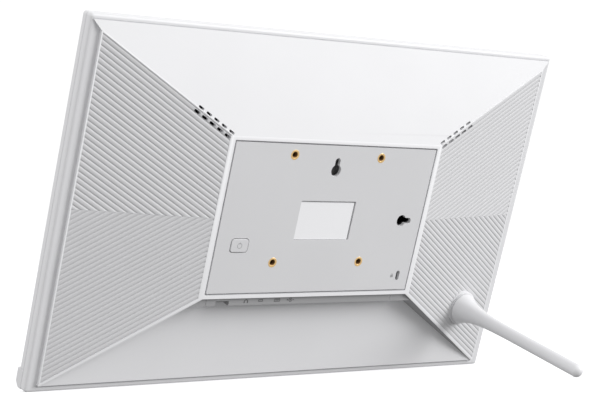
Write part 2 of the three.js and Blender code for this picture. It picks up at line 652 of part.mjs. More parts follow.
function buildCover() {
  const tongueInset = MIDDLE_BORDER + GAP;
  const cavityInset = tongueInset + TONGUE_THICKNESS;
  const bossFront = SOCKET_FRONT - GAP - LEG_BOSS_FLOOR;
  let cover = outerPlate(COVER_FRONT - 2, RIM_BACK, RIM_BEVEL)
    .subtract(framePlate(-10, 0, COVER_FRONT));
  cover = cover.add(raisedBack());
  cover = cover.add(framePlate(tongueInset, COVER_FRONT - TONGUE_DEPTH, COVER_FRONT + 0.5));

  const cavity = framePlate(cavityInset, 0, BODY_DEPTH)
    .intersect(pyramid(0, LEDGE_FRONT, WALL))
    .subtract(scoop(WALL));
  cover = cover.subtract(cavity).subtract(scoop(0));

  // recess and opening for the mount panel
  const half = PANEL_WIDTH / 2 + PANEL_SEAM;
  const tall = PANEL_HEIGHT / 2 + PANEL_SEAM;
  cover = cover.subtract(plate(
    roundedRectangle(-half, half, PANEL_MID - tall, PANEL_MID + tall, 0.8),
    PANEL_FRONT - GAP, BODY_DEPTH + 1));
  const openHalf = half - PANEL_LEDGE;
  const openTall = tall - PANEL_LEDGE;
  cover = cover.subtract(box(
    -openHalf, openHalf, LEDGE_FRONT - 1, BODY_DEPTH, PANEL_MID - openTall, PANEL_MID + openTall));

  // window for the socket panel, then slots and ribs
  cover = cover.subtract(box(
    SOCKET_STRIP_LEFT - GAP, SOCKET_STRIP_RIGHT + GAP,
    SCOOP_FLOOR_TOP + GAP, STRIP_BACK + GAP,
    STRIP_BOTTOM - SOCKET_STRIP_SILL, PLATEAU_BOTTOM - GAP));
  cover = cover.subtract(speakerSlots());
  cover = cover.subtract(ribGrooves(-1)).subtract(ribGrooves(1));

  // flat seat of the leg over the ribs, and its boss inside down to just behind the display
  const seatFront = wingDepth(LEG_ACROSS) - WALL;
  cover = cover.add(rod(LEG_SEAT_RADIUS, seatFront, LEG_SEAT_DEPTH, LEG_ACROSS, LEG_UP, 24));
  cover = cover.add(rod(LEG_BOSS_RADIUS, bossFront, seatFront + 1, LEG_ACROSS, LEG_UP));
  cover = cover.subtract(
    rod(SOCKET_RADIUS + GAP, SOCKET_FRONT - GAP, BODY_DEPTH, LEG_ACROSS, LEG_UP));
  add('rear_cover', cover, WHITE);
}

// ---------------------------------------------------------------- mount panel

const PANEL_HALF = PANEL_WIDTH / 2;
const PANEL_BOTTOM = PANEL_MID - PANEL_HEIGHT / 2;
const KEYHOLES = [
  {
    name: 'keyhole_plate_top',
    x: 0,
    z: VESA_MID + VESA_SPACING / 2 - KEYHOLE_BELOW_INSERTS,
    angle: 0,
  },
  {
    name: 'keyhole_plate_side',
    x: KEYHOLE_FROM_SIDE - PANEL_HALF,
    z: PANEL_MID - KEYHOLE_BELOW_MIDDLE,
    angle: Math.PI / 2,
  },
];
const LOCK_X = LOCK_FROM_SIDE - PANEL_HALF;
const LOCK_Z = PANEL_BOTTOM + LOCK_FROM_BOTTOM;
const BUTTON_X = PANEL_HALF - BUTTON_FROM_SIDE;
const BUTTON_UP = PANEL_BOTTOM + BUTTON_FROM_BOTTOM;

// round entry hole with a narrower slot running off it; angle 0 points the slot up
function keyhole(hole, grow, y0, y1) {
  const radius = KEYHOLE_RADIUS + grow;
  const half = KEYHOLE_SLOT / 2 + grow;
  const entry = Math.asin(half / radius);
  const shape = new THREE.Shape();
  shape.absarc(0, 0, radius, Math.PI / 2 + entry, 2.5 * Math.PI - entry);
  shape.absarc(0, KEYHOLE_REACH, half, 0, Math.PI);
  const geometry = new THREE.ExtrudeGeometry(shape, {
    depth: y1 - y0, bevelEnabled: false, curveSegments: 9,
  });
  geometry.rotateZ(hole.angle);
  geometry.rotateX(Math.PI / 2);
  geometry.translate(hole.x, y1, hole.z);
  return solid(geometry);
}

function buttonOutline(grow) {
  const half = BUTTON_WIDTH / 2 + grow;
  const tall = BUTTON_HEIGHT / 2 + grow;
  return roundedRectangle(
    BUTTON_X - half, BUTTON_X + half, BUTTON_UP - tall, BUTTON_UP + tall,
    BUTTON_CORNER + grow);
}

const LABEL_Z = PANEL_MID - LABEL_BELOW_MIDDLE;

function labelOutline(inset) {
  const half = LABEL_WIDTH / 2 - inset;
  const tall = LABEL_HEIGHT / 2 - inset;
  return roundedRectangle(-half, half, LABEL_Z - tall, LABEL_Z + tall, LABEL_CORNER);
}

function vesaPlaces() {
  const reach = VESA_SPACING / 2;
  return [[-1, -1], [1, -1], [1, 1], [-1, 1]].map(([i, k]) => [i * reach, VESA_MID + k * reach]);
}

function buildPanel() {
  const through = [PANEL_FRONT - 5, BODY_DEPTH + 1];
  let panel = plate(
    roundedRectangle(-PANEL_HALF, PANEL_HALF, PANEL_BOTTOM, PANEL_BOTTOM + PANEL_HEIGHT,
      PANEL_CORNER),
    PANEL_FRONT, BODY_DEPTH);
  const hubFront = BODY_DEPTH - INSERT_LENGTH;
  for (const [x, z] of vesaPlaces()) {
    panel = panel.add(rod(
      INSERT_RADIUS + GAP + INSERT_HUB_WALL, hubFront, PANEL_FRONT + 1, x, z, 12));
    panel = panel.subtract(rod(INSERT_RADIUS + GAP, hubFront - 1, BODY_DEPTH + 1, x, z));
  }
  for (const hole of KEYHOLES) panel = panel.subtract(keyhole(hole, 0, ...through));
  const lockHalf = LOCK_SLOT_WIDTH / 2;
  panel = panel.subtract(plate(roundedRectangle(
    LOCK_X - lockHalf, LOCK_X + lockHalf,
    LOCK_Z - LOCK_SLOT_HEIGHT / 2, LOCK_Z + LOCK_SLOT_HEIGHT / 2, 0.9 * lockHalf), ...through));
  panel = panel.subtract(plate(buttonOutline(GAP), ...through));
  panel = panel.subtract(plate(labelOutline(0), BODY_DEPTH - LABEL_RECESS, BODY_DEPTH + 1));
  add('mount_panel', panel, PANEL_GREY);

  vesaPlaces().forEach(([x, z], i) => {
    const insert = rod(INSERT_RADIUS, hubFront, BODY_DEPTH - INSERT_SUNK, x, z)
      .subtract(rod(INSERT_BORE, hubFront - 1, BODY_DEPTH + 1, x, z, 12));
    add(`vesa_insert_${i + 1}`, insert, BRASS);
  });

  const labelBack = BODY_DEPTH - LABEL_RECESS + GAP + LABEL_THICKNESS;
  add('label_plate', plate(labelOutline(GAP), labelBack - LABEL_THICKNESS, labelBack), LABEL);
}

function buildSteelPlates() {
  const back = PANEL_FRONT - GAP;
  for (const hole of KEYHOLES) {
    const wide = KEYHOLE_RADIUS + KEYHOLE_PLATE_MARGIN;
    const low = -KEYHOLE_RADIUS - KEYHOLE_PLATE_MARGIN;
    const high = KEYHOLE_REACH + KEYHOLE_SLOT / 2 + KEYHOLE_PLATE_MARGIN;
    const outline = hole.angle
      ? roundedRectangle(hole.x - high, hole.x - low, hole.z - wide, hole.z + wide,
        KEYHOLE_PLATE_CORNER)
      : roundedRectangle(hole.x - wide, hole.x + wide, hole.z + low, hole.z + high,
        KEYHOLE_PLATE_CORNER);
    const cut = keyhole(hole, -STEEL_EDGE, back - KEYHOLE_PLATE - 1, back + 1);
    add(hole.name, plate(outline, back - KEYHOLE_PLATE, back).subtract(cut), STEEL);
  }
  const half = LOCK_SLOT_WIDTH / 2 - STEEL_EDGE;
  const tall = LOCK_SLOT_HEIGHT / 2 - STEEL_EDGE;
  const lock = box(LOCK_X - LOCK_PLATE_NEAR, LOCK_X + LOCK_PLATE_FAR, back - LOCK_PLATE, back,
    LOCK_Z - LOCK_PLATE_HALF_HEIGHT, LOCK_Z + LOCK_PLATE_HALF_HEIGHT)
    .subtract(box(LOCK_X - half, LOCK_X + half, back - LOCK_PLATE - 1, back + 1,
      LOCK_Z - tall, LOCK_Z + tall));
  add('lock_plate', lock, STEEL);
}

// ---------------------------------------------------------------- power button

const COLLAR_BACK = PANEL_FRONT - GAP;

function buildButton() {
  const switchBack = BOARD_BACK + GAP + SWITCH_BODY;
  const plungerFront = switchBack - SWITCH_SEAT - BUTTON_TRAVEL_ROOM;
  const plungerBack = switchBack + PLUNGER_LENGTH;
  const half = SWITCH_SIZE / 2;
  const well = rod(PLUNGER_RADIUS + GAP, plungerFront - BUTTON_TRAVEL_ROOM - GAP,
    switchBack + 1, BUTTON_X, BUTTON_UP, 12);
  const body = box(BUTTON_X - half, BUTTON_X + half, BOARD_BACK + GAP, switchBack,
    BUTTON_UP - half, BUTTON_UP + half).subtract(well);
  add('switch_body', body, BLACK_PLASTIC);
  add('switch_plunger', rod(PLUNGER_RADIUS, plungerFront, plungerBack,
    BUTTON_X, BUTTON_UP, 12), SOFT_WHITE);

  const collarFront = COLLAR_BACK - COLLAR_THICKNESS;
  const stemFront = plungerBack + GAP;
  const button = plate(buttonOutline(0), collarFront, BODY_DEPTH + BUTTON_PROUD)
    .add(plate(buttonOutline(COLLAR_MARGIN), collarFront, COLLAR_BACK))
    .add(rod(STEM_RADIUS, stemFront, collarFront + 0.5, BUTTON_X, BUTTON_UP, 12));
  add('power_button', button, PANEL_GREY);
}

// ---------------------------------------------------------------- sockets

const PORT_BOTTOM = STRIP_BOTTOM + SOCKET_PLATE + GAP;
for (const port of Object.values(PORTS)) port.x = SOCKET_STRIP_RIGHT - port.inset;

function buildSocketPanel() {
  const top = PLATEAU_BOTTOM - 2 * GAP;
  const floorFront = SCOOP_FLOOR_TOP + 2 * GAP;
  let panel = box(SOCKET_STRIP_LEFT, SOCKET_STRIP_RIGHT, STRIP_BACK - SOCKET_PLATE, STRIP_BACK,
    STRIP_BOTTOM, top);
  panel = panel.add(box(SOCKET_STRIP_LEFT, SOCKET_STRIP_RIGHT, floorFront, STRIP_BACK,
    STRIP_BOTTOM, STRIP_BOTTOM + SOCKET_PLATE));
  for (const port of Object.values(PORTS)) {
    const low = STRIP_BOTTOM - 1;
    const high = STRIP_BOTTOM + SOCKET_PLATE + 1;
    const opening = port.radius
      ? standingRod(port.radius + PORT_FLARE, port.x, PORT_AXIS_DEPTH, low, high)
      : box(port.x - port.half, port.x + port.half,
        PORT_AXIS_DEPTH - port.thick, PORT_AXIS_DEPTH + port.thick, low, high);
    panel = panel.subtract(opening);
  }
  // finger notch over the memory card
  panel = panel.subtract(box(PORTS.card.x - CARD_NOTCH.half, PORTS.card.x + CARD_NOTCH.half,
    PORT_AXIS_DEPTH + CARD_NOTCH.forward, STRIP_BACK + 1,
    STRIP_BOTTOM - 1, STRIP_BOTTOM + CARD_NOTCH.height));
  add('socket_panel', panel, WHITE);
}

// a socket body on the board, open at the bottom
function socketBody(name, x, half, front, back, height, opening, look) {
  const body = box(x - half, x + half, front, back, PORT_BOTTOM, PORT_BOTTOM + height);
  add(name, body.subtract(opening), look);
}

function slotOpening(port, depth, wall) {
  return box(port.x - port.half + wall, port.x + port.half - wall,
    PORT_AXIS_DEPTH - port.thick + wall, PORT_AXIS_DEPTH + port.thick - wall,
    PORT_BOTTOM - 1, PORT_BOTTOM + depth);
}

function buildSockets() {
  const front = BOARD_BACK + GAP;
  const back = LEDGE_FRONT - GAP;
  const { card, audio, usbC, usbA, power } = PORTS;
  const cardHalf = card.half - CARD_BODY.side;
  const cardSlot = box(card.x - cardHalf, card.x + cardHalf,
    PORT_AXIS_DEPTH - CARD_SLOT.forward, PORT_AXIS_DEPTH - CARD_SLOT.back,
    PORT_BOTTOM - 1, PORT_BOTTOM + CARD_SLOT.height);
  socketBody('card_slot', card.x, CARD_BODY.half, PORT_AXIS_DEPTH - CARD_BODY.forward,
    PORT_AXIS_DEPTH + CARD_BODY.back, CARD_BODY.height, cardSlot, STEEL);

  const audioBore = standingRod(audio.radius, audio.x, PORT_AXIS_DEPTH,
    PORT_BOTTOM - 1, PORT_BOTTOM + AUDIO_BODY.bore);
  socketBody('audio_jack', audio.x, AUDIO_BODY.half, front, back, AUDIO_BODY.height, audioBore,
    BLACK_PLASTIC);

  const tongue = box(usbC.x - USB_C_TONGUE.half, usbC.x + USB_C_TONGUE.half,
    PORT_AXIS_DEPTH - USB_C_TONGUE.thick, PORT_AXIS_DEPTH + USB_C_TONGUE.thick,
    PORT_BOTTOM + USB_C_TONGUE.inset, PORT_BOTTOM + USB_C_TONGUE.height);
  socketBody('usb_c_port', usbC.x, usbC.half, PORT_AXIS_DEPTH - usbC.thick,
    PORT_AXIS_DEPTH + usbC.thick, USB_C_BODY.height,
    slotOpening(usbC, USB_C_BODY.bore, USB_C_BODY.wall).subtract(tongue), STEEL);

  socketBody('usb_a_port', usbA.x, usbA.half + USB_A_BODY.side, front, back, USB_A_BODY.height,
    slotOpening(usbA, USB_A_BODY.bore, USB_A_BODY.wall), STEEL);

  const barrel = standingRod(power.radius, power.x, PORT_AXIS_DEPTH,
    PORT_BOTTOM - 1, PORT_BOTTOM + POWER_BODY.bore);
  const pin = standingRod(POWER_PIN.radius, power.x, PORT_AXIS_DEPTH,
    PORT_BOTTOM + POWER_PIN.inset, PORT_BOTTOM + POWER_PIN.height);
  socketBody('power_jack', power.x, POWER_BODY.half, front, back, POWER_BODY.height,
    barrel.subtract(pin), BLACK_PLASTIC);
}

// ---------------------------------------------------------------- boards and speakers

function boardScrewPlaces() {
  const left = BOARD_LEFT + BOARD_HOLE_INSET;
  const right = BOARD_RIGHT - BOARD_HOLE_INSET;
  const top = BOARD_TOP - BOARD_HOLE_INSET;
  return [
    [left, BOARD_BOTTOM + BOARD_HOLE_INSET], [right, BOARD_BOTTOM + BOARD_HOLE_OVER_CARD],
    [right, top], [left, top],
  ];
}

// a plain block on the rear face of the board, placed from its lower edge
function onBoard(name, part, look) {
  const front = BOARD_BACK + GAP;
  add(name, box(part.left, part.right, front, front + part.thick,
    BOARD_BOTTOM + part.bottom, BOARD_BOTTOM + part.top), look);
}

function buildBoards() {
  const screwHole = SCREW_SHANK + GAP;
  const seat = BOARD_BACK + GAP;
  const head = seat + 0.9;
  const crown = seat + 1.6;
  let board = box(BOARD_LEFT, BOARD_RIGHT, BOARD_FRONT, BOARD_BACK, BOARD_BOTTOM, BOARD_TOP);
  for (const [x, z] of boardScrewPlaces()) {
    board = board.subtract(rod(screwHole, BOARD_FRONT - 1, BOARD_BACK + 1, x, z, 8));
  }
  add('main_board', board, BOARD_GREEN);
  boardScrewPlaces().forEach(([x, z], i) => {
    const spacer = rod(SPACER_RADIUS, TRAY_BACK + GAP, BOARD_FRONT - GAP, x, z, 6)
      .subtract(rod(screwHole, BOARD_FRONT - SCREW_DEPTH - GAP, BOARD_FRONT, x, z, 8));
    add(`board_spacer_${i + 1}`, spacer, BRASS);
    const profile = [
      [0, BOARD_FRONT - SCREW_DEPTH], [SCREW_SHANK, BOARD_FRONT - SCREW_DEPTH],
      [SCREW_SHANK, seat], [SCREW_HEAD, seat], [SCREW_HEAD, head],
      [SCREW_HEAD - 0.8, crown], [0, crown],
    ];
    add(`board_screw_${i + 1}`, turned(profile, x, z, 8), STEEL);
  });
  onBoard('shield_can', SHIELD, ALUMINIUM);
  onBoard('wifi_module', WIFI, STEEL);
  const antennaFront = TRAY_BACK + GAP;
  add('wifi_antenna', box(ANTENNA.left, ANTENNA.right,
    antennaFront, antennaFront + ANTENNA.thick,
    PLATEAU_TOP + ANTENNA.bottom, PLATEAU_TOP + ANTENNA.top), BLACK_PLASTIC);
}

function buildSpeaker(side, word) {
  const x = side * (PLATEAU_HALF + SLOT_FIRST + (SLOT_COUNT - 1) * SLOT_PITCH / 2);
  const z = PLATEAU_TOP - SPEAKER_DROP;
  const half = SPEAKER_WIDTH / 2;
  const tall = SPEAKER_HEIGHT / 2;
  const front = TRAY_BACK + 4 * GAP;
  const back = front + SPEAKER_DEPTH;
  const dish = turned([
    [0, back - CONE_DEPTH], [CONE_HUB, back - CONE_DEPTH],
    [CONE_RADIUS, back + OVERRUN], [CONE_RADIUS, back + 1], [0, back + 1],
  ], x, z);
  add(`speaker_${word}`, box(x - half, x + half, front, back, z - tall, z + tall).subtract(dish),
    BLACK_PLASTIC);
  const gasketFront = back + GAP;
  const gasketBack = gasketFront + GASKET_THICKNESS;
  const gasket = rod(CONE_RADIUS + GASKET_WALL, gasketFront, gasketBack, x, z)
    .subtract(rod(CONE_RADIUS, back, gasketBack + 1, x, z));
  add(`speaker_gasket_${word}`, gasket, FOAM);
}

// ---------------------------------------------------------------- leg

const FLARE_STEPS = [0.5, 2, 4, 7, 11, 16, 23, 33, 48];
const TIP_STEPS = 5;

function buildLeg() {
  const socketBack = LEG_SEAT_DEPTH - GAP;
  const socket = rod(SOCKET_RADIUS, SOCKET_FRONT, socketBack, LEG_ACROSS, LEG_UP)
    .subtract(rod(STUD_RADIUS + GAP, SOCKET_FRONT + GAP, BODY_DEPTH, LEG_ACROSS, LEG_UP));
  add('leg_socket', socket, BRASS);

  const washer = rod(LEG_BASE_RADIUS, WASHER_FRONT, WASHER_FRONT + WASHER_THICKNESS,
    LEG_ACROSS, LEG_UP, 24)
    .subtract(rod(STUD_RADIUS + GAP, 0, BODY_DEPTH, LEG_ACROSS, LEG_UP));
  add('leg_washer', washer, SOFT_WHITE);

  // a straight rod that flares like a trumpet to its base and ends in a round tip
  const flare = LEG_BASE_RADIUS - LEG_RADIUS;
  const profile = [[0, LEG_FRONT], [LEG_BASE_RADIUS - LEG_BASE_EDGE, LEG_FRONT]];
  for (const step of FLARE_STEPS) {
    profile.push([LEG_RADIUS + flare * Math.exp(-step / LEG_FLARE), LEG_FRONT + step]);
  }
  const tipMiddle = LEG_END - LEG_RADIUS;
  for (let i = 0; i <= TIP_STEPS; i += 1) {
    const angle = i / TIP_STEPS * Math.PI / 2;
    const radius = i === TIP_STEPS ? 0 : LEG_RADIUS * Math.cos(angle);
    profile.push([radius, tipMiddle + LEG_RADIUS * Math.sin(angle)]);
  }
  const bore = rod(STUD_RADIUS + GAP, 0, LEG_FRONT + STUD_IN_LEG + GAP, LEG_ACROSS, LEG_UP);
  add('stand_leg', turned(profile, LEG_ACROSS, LEG_UP, 24).subtract(bore), WHITE);
  add('leg_stud', rod(STUD_RADIUS, SOCKET_FRONT + 3 * GAP, LEG_FRONT + STUD_IN_LEG,
    LEG_ACROSS, LEG_UP), STEEL);
}

// ---------------------------------------------------------------- assembly

buildBezel();
buildFoot('corner_foot_right', 1);
buildFoot('corner_foot_left', -1);
buildMiddleFrame();
buildDisplay();
buildDriverBoard();
buildCover();
buildPanel();
buildSteelPlates();
buildButton();
buildSocketPanel();
buildSockets();
buildBoards();
buildSpeaker(1, 'right');
buildSpeaker(-1, 'left');
buildLeg();

// lean back until the rim's lower rear edge and the leg's round tip share one floor
const restDepth = RIM_BACK - RIM_BEVEL;
const tipReach = LEG_END - LEG_RADIUS - restDepth;
const LEAN = Math.atan2(LEG_UP, tipReach) - Math.asin(LEG_RADIUS / Math.hypot(LEG_UP, tipReach));

frame.rotation.x = -LEAN;
frame.updateMatrixWorld(true);
const bounds = new THREE.Box3().setFromObject(frame, true);
frame.position.set(0, -(bounds.min.y + bounds.max.y) / 2, -bounds.min.z);

const photoFrame = new THREE.Group();
photoFrame.add(frame);

export default photoFrame;
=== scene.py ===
"""Looks of the digital photo frame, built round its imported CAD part.

Everything is drawn upright, in millimetres, in the frame's own axes: X to the right as seen from
the front, Y from the screen to the back, Z up along the screen. PLACE then leans it back into the
row frame, in metres. Places and overall sizes are read from the CAD nodes.
"""

import math

import bmesh
import bpy
from mathutils import Matrix, Vector
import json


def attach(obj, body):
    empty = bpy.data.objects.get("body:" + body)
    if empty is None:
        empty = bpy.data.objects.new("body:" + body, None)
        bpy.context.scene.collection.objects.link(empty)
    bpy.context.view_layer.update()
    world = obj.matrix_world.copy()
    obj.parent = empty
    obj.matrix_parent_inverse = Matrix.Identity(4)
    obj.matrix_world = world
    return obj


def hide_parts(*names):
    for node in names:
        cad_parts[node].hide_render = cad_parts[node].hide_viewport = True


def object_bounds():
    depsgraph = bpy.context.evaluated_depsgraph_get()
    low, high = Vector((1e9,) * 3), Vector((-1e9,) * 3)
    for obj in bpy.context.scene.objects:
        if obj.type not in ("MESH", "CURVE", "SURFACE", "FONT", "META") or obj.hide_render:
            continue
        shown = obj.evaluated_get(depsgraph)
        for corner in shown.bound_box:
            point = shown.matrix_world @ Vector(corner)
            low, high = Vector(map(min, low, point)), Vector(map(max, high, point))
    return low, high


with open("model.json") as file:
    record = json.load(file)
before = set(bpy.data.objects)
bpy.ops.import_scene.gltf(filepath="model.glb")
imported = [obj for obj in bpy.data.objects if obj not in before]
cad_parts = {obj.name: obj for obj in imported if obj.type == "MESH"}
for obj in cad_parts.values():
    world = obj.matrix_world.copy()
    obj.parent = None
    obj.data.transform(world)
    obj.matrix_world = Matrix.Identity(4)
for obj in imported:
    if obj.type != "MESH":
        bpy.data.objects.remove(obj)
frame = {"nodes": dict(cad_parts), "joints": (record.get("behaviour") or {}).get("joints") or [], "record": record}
cad_low, cad_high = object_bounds()
nodes = frame["nodes"]

# ---------------------------------------------------------------- axes and places

MM = 0.001
SIDEWAYS = Vector((1, 0, 0))
DEPTH = Vector(next(j for j in frame["joints"] if j["name"] == "leg_turn")["axis"]).normalized()
RISE = SIDEWAYS.cross(DEPTH)


def reach(node, axis):
    """Least and greatest distance of a CAD node's vertices along an axis, in metres."""
    values = [axis.dot(v.co) for v in nodes[node].data.vertices]
    return min(values), max(values)


FRONT_PLANE = reach("front_bezel", DEPTH)[0]
BOTTOM_EDGE = reach("front_bezel", RISE)[0]
CORNER = DEPTH * FRONT_PLANE + RISE * BOTTOM_EDGE
PLACE = Matrix((
    (MM * SIDEWAYS.x, MM * DEPTH.x, MM * RISE.x, CORNER.x),
    (MM * SIDEWAYS.y, MM * DEPTH.y, MM * RISE.y, CORNER.y),
    (MM * SIDEWAYS.z, MM * DEPTH.z, MM * RISE.z, CORNER.z),
    (0, 0, 0, 1),
))


def span(node):
    """(x0, x1), (y0, y1), (z0, z1) of a CAD node in the upright axes, in millimetres."""
    starts = (0.0, FRONT_PLANE, BOTTOM_EDGE)
    return [
        tuple((value - start) / MM for value in reach(node, axis))
        for axis, start in zip((SIDEWAYS, DEPTH, RISE), starts)
    ]


def middle(pair):
    return (pair[0] + pair[1]) / 2


GAP = 0.3                     # clearance between neighbouring parts
WALL = 2.2                    # thickness of the moulded walls
cover = span("rear_cover")
HALF = cover[0][1]
HEIGHT = cover[2][1]
BACK = cover[1][1]
middle_ring = span("middle_frame")
MIDDLE_WIDTH = 12.0
COVER_FRONT = middle_ring[1][1] + GAP
RIM_BACK = COVER_FRONT + 1.3
RIM_ROUND_WIDE = 2.3
RIM_ROUND_DEEP = 1.1
CORNER_RADIUS = 2.0
SHARPEST_RADIUS = 0.4
panel = span("mount_panel")
PANEL_THICKNESS = 2.4
PANEL_FRONT = BACK - PANEL_THICKNESS
PANEL_MID = middle(panel[2])
PLATEAU_BORDER = 3.8
PLATEAU_BORDER_BELOW = 3.7
PLATEAU_HALF = panel[0][1] + PLATEAU_BORDER
PLATEAU_TOP = panel[2][1] + PLATEAU_BORDER
PLATEAU_BOTTOM = panel[2][0] - PLATEAU_BORDER_BELOW
LEDGE_FRONT = PANEL_FRONT - GAP - WALL

# the four slopes of the raised back
SLOPE_EDGE = 12.8             # depth where the slopes start
MARGIN_SIDE = 7.8
MARGIN_TOP = 9.5
MARGIN_BOTTOM = 4.9
SLOPE_RISE = BACK - SLOPE_EDGE
RUN_SIDE = (HALF - MARGIN_SIDE - PLATEAU_HALF) / SLOPE_RISE
RUN_TOP = (HEIGHT - MARGIN_TOP - PLATEAU_TOP) / SLOPE_RISE
RUN_BOTTOM = (PLATEAU_BOTTOM - MARGIN_BOTTOM) / SLOPE_RISE
BEAD = 3.1                    # flat edge left above the top slope
BEAD_SIDE = 1.8               # and at its two ends
BEAD_LINE = (0.45, 0.5)       # depth and width of the line under the upper bead
GROOVE_DEPTH = 0.8            # groove between the slopes and the rim, along the lower edge
GROOVE = (1.7, 0.1)           # its two sides, measured down from the slope's foot

# ribs
RIB_PITCH = 3.6
RIB_DEPTH = 0.45
RIB_FROM_UPPER_HIP = 0.8
RIB_FROM_LOWER_HIP = 1.7
RIB_FROM_PLATEAU = 1.6
RIB_EDGE = 0.8
SHORTEST_RIB = 0.05
RIBS_AT_SLOTS = 3

# the thin raised line along each upper hip
RIDGE_HALF = 0.5
RIDGE_HEIGHT = 0.22
RIDGE_SUNK = 0.02
RIDGE_ROOT = 0.6

# speaker slots: each row's distance from the hip, stagger, and slot length and width
SLOT_ROWS = ((-2.7, 0, 5.3, 1.9), (1.5, 2.6, 4.7, 1.6))
SLOTS_IN_ROW = 5
SLOT_PITCH = 6.0
SLOT_START = 3.7

# scoop and the strip of sockets
strip = span("socket_panel")
STRIP_BACK = strip[1][1]
STRIP_BOTTOM = strip[2][0]
SCOOP_BORDER = 1.9
SCOOP_LEAN = 5.0
FLOOR_TOP = 15.0              # depth of the scoop's floor under the strip
FLOOR_BOTTOM = 12.4           # and at the lower edge
HAIR = 0.01                   # keeps two cutting faces from lying in one plane


def wing_depth(x):
    """Depth of the side slopes at x."""
    return BACK - (abs(x) - PLATEAU_HALF) / RUN_SIDE


def upper_hip(x):
    """Height at x of the edge between a side slope and the top slope."""
    return PLATEAU_TOP + (abs(x) - PLATEAU_HALF) * RUN_TOP / RUN_SIDE


def lower_hip(x):
    """Height at x of the edge between a side slope and the scoop's side."""
    return PLATEAU_BOTTOM - (abs(x) - PLATEAU_HALF) * RUN_BOTTOM / RUN_SIDE


# ---------------------------------------------------------------- shapes

ON_AXIS = 1e-6
WELD = 0.002
FLAT_WITHIN = 0.6             # degrees


def made(bm, name="shape"):
    """The mesh under construction as an object with its faces turned outwards."""
    bmesh.ops.recalc_face_normals(bm, faces=bm.faces)
    mesh = bpy.data.meshes.new(name)
    bm.to_mesh(mesh)
    bm.free()
    obj = bpy.data.objects.new(name, mesh)
    bpy.context.scene.collection.objects.link(obj)
    return obj


def loft(loops, closed=False):
    """A skin over loops of equally many points, capped unless it closes on itself."""
    bm = bmesh.new()
    rings = [[bm.verts.new(p) for p in loop] for loop in loops]
    count = len(rings[0])
    pairs = list(zip(rings, rings[1:]))
    if closed:
        pairs.append((rings[-1], rings[0]))
    for a, b in pairs:
        for i in range(count):
            j = (i + 1) % count
            bm.faces.new((a[i], a[j], b[j], b[i]))
    if not closed:
        bm.faces.new(rings[0])
        bm.faces.new(rings[-1])
    return made(bm)


def prism(outline, y0, y1):
    """An outline in X and Z filled from depth y0 to y1; y0 may be a function of x."""
    start = y0 if callable(y0) else (lambda x: y0)
    return loft([[(x, start(x), z) for x, z in outline], [(x, y1, z) for x, z in outline]])


def beam(profile, x0, x1):
    """A profile in depth and height, drawn out from x0 to x1."""
    return loft([[(x, y, z) for y, z in profile] for x in (x0, x1)])


def block(x0, x1, y0, y1, z0, z1):
    return prism([(x0, z0), (x1, z0), (x1, z1), (x0, z1)], y0, y1)


def hexahedron(corner):
    """corner(right, back, upper) gives a point; each argument is 0 or 1."""
    order = ((0, 0), (1, 0), (1, 1), (0, 1))
    return loft([[corner(i, j, k) for i, k in order] for j in (0, 1)])


def rounded(x0, x1, z0, z1, radius, steps=8):
    """Outline of a rectangle with round corners."""
    points = []
    centres = ((x1, z0, -90), (x1, z1, 0), (x0, z1, 90), (x0, z0, 180))
    for cx, cz, start in centres:
        cx += -radius if cx == x1 else radius
        cz += -radius if cz == z1 else radius
        for i in range(steps + 1):
            angle = math.radians(start + 90 * i / steps)
            points.append((cx + radius * math.cos(angle), cz + radius * math.sin(angle)))
    return points


def outer(inset=0.0):
    """The frame's own outline, moved in."""
    radius = max(CORNER_RADIUS - inset, SHARPEST_RADIUS)
    return rounded(inset - HALF, HALF - inset, inset, HEIGHT - inset, radius)


def stacked(levels):
    """Outlines of the whole frame, each (inset, depth), as one solid."""
    return loft([[(x, y, z) for x, z in outer(inset)] for inset, y in levels])


def lathe(profile, x, z, sides=48, ring=False):
    """A solid of revolution about an axis along Y; the profile is [(radius, depth)]."""
    bm = bmesh.new()
    rings = []
    for radius, y in profile:
        if radius < ON_AXIS:
            rings.append([bm.verts.new((x, y, z))])
            continue
        rings.append([
            bm.verts.new((
                x + radius * math.cos(math.tau * i / sides), y,
                z + radius * math.sin(math.tau * i / sides)))
            for i in range(sides)
        ])
    pairs = list(zip(rings, rings[1:]))
    if ring:
        pairs.append((rings[-1], rings[0]))
    for a, b in pairs:
        for i in range(sides):
            j = (i + 1) % sides
            corners = [a[i % len(a)], a[j % len(a)], b[j % len(b)], b[i % len(b)]]
            unique = list(dict.fromkeys(corners))
            if len(unique) > 2:
                bm.faces.new(unique)
    return made(bm)


def rod(radius, y0, y1, x, z, sides=32):
    """A round bar along Y."""
    return lathe([(0, y0), (radius, y0), (radius, y1), (0, y1)], x, z, sides)


def upright_rod(radius, x, y, z0, z1, sides=32):
    """A round bar along Z."""
    ring = [math.tau * i / sides for i in range(sides)]
    return loft([
        [(x + radius * math.cos(a), y + radius * math.sin(a), z) for a in ring]
        for z in (z0, z1)
    ])


def applied(obj):
    """Turns the object's modifiers into its mesh."""
    graph = bpy.context.evaluated_depsgraph_get()
    graph.update()
    mesh = bpy.data.meshes.new_from_object(obj.evaluated_get(graph))
    obj.modifiers.clear()
    obj.data = mesh
    return obj


def combine(obj, others, operation):
    """Cuts, fuses or intersects the object with the others, which are used up."""
    for other in others:
        modifier = obj.modifiers.new("combine", "BOOLEAN")
        modifier.operation = operation
        modifier.solver = "EXACT"
        modifier.object = other
    applied(obj)
    for other in others:
        bpy.data.objects.remove(other)
    return obj


def cut(obj, *others):
    return combine(obj, others, "DIFFERENCE")


def fuse(obj, *others):
    return combine(obj, others, "UNION")


def common(obj, *others):
    return combine(obj, others, "INTERSECT")


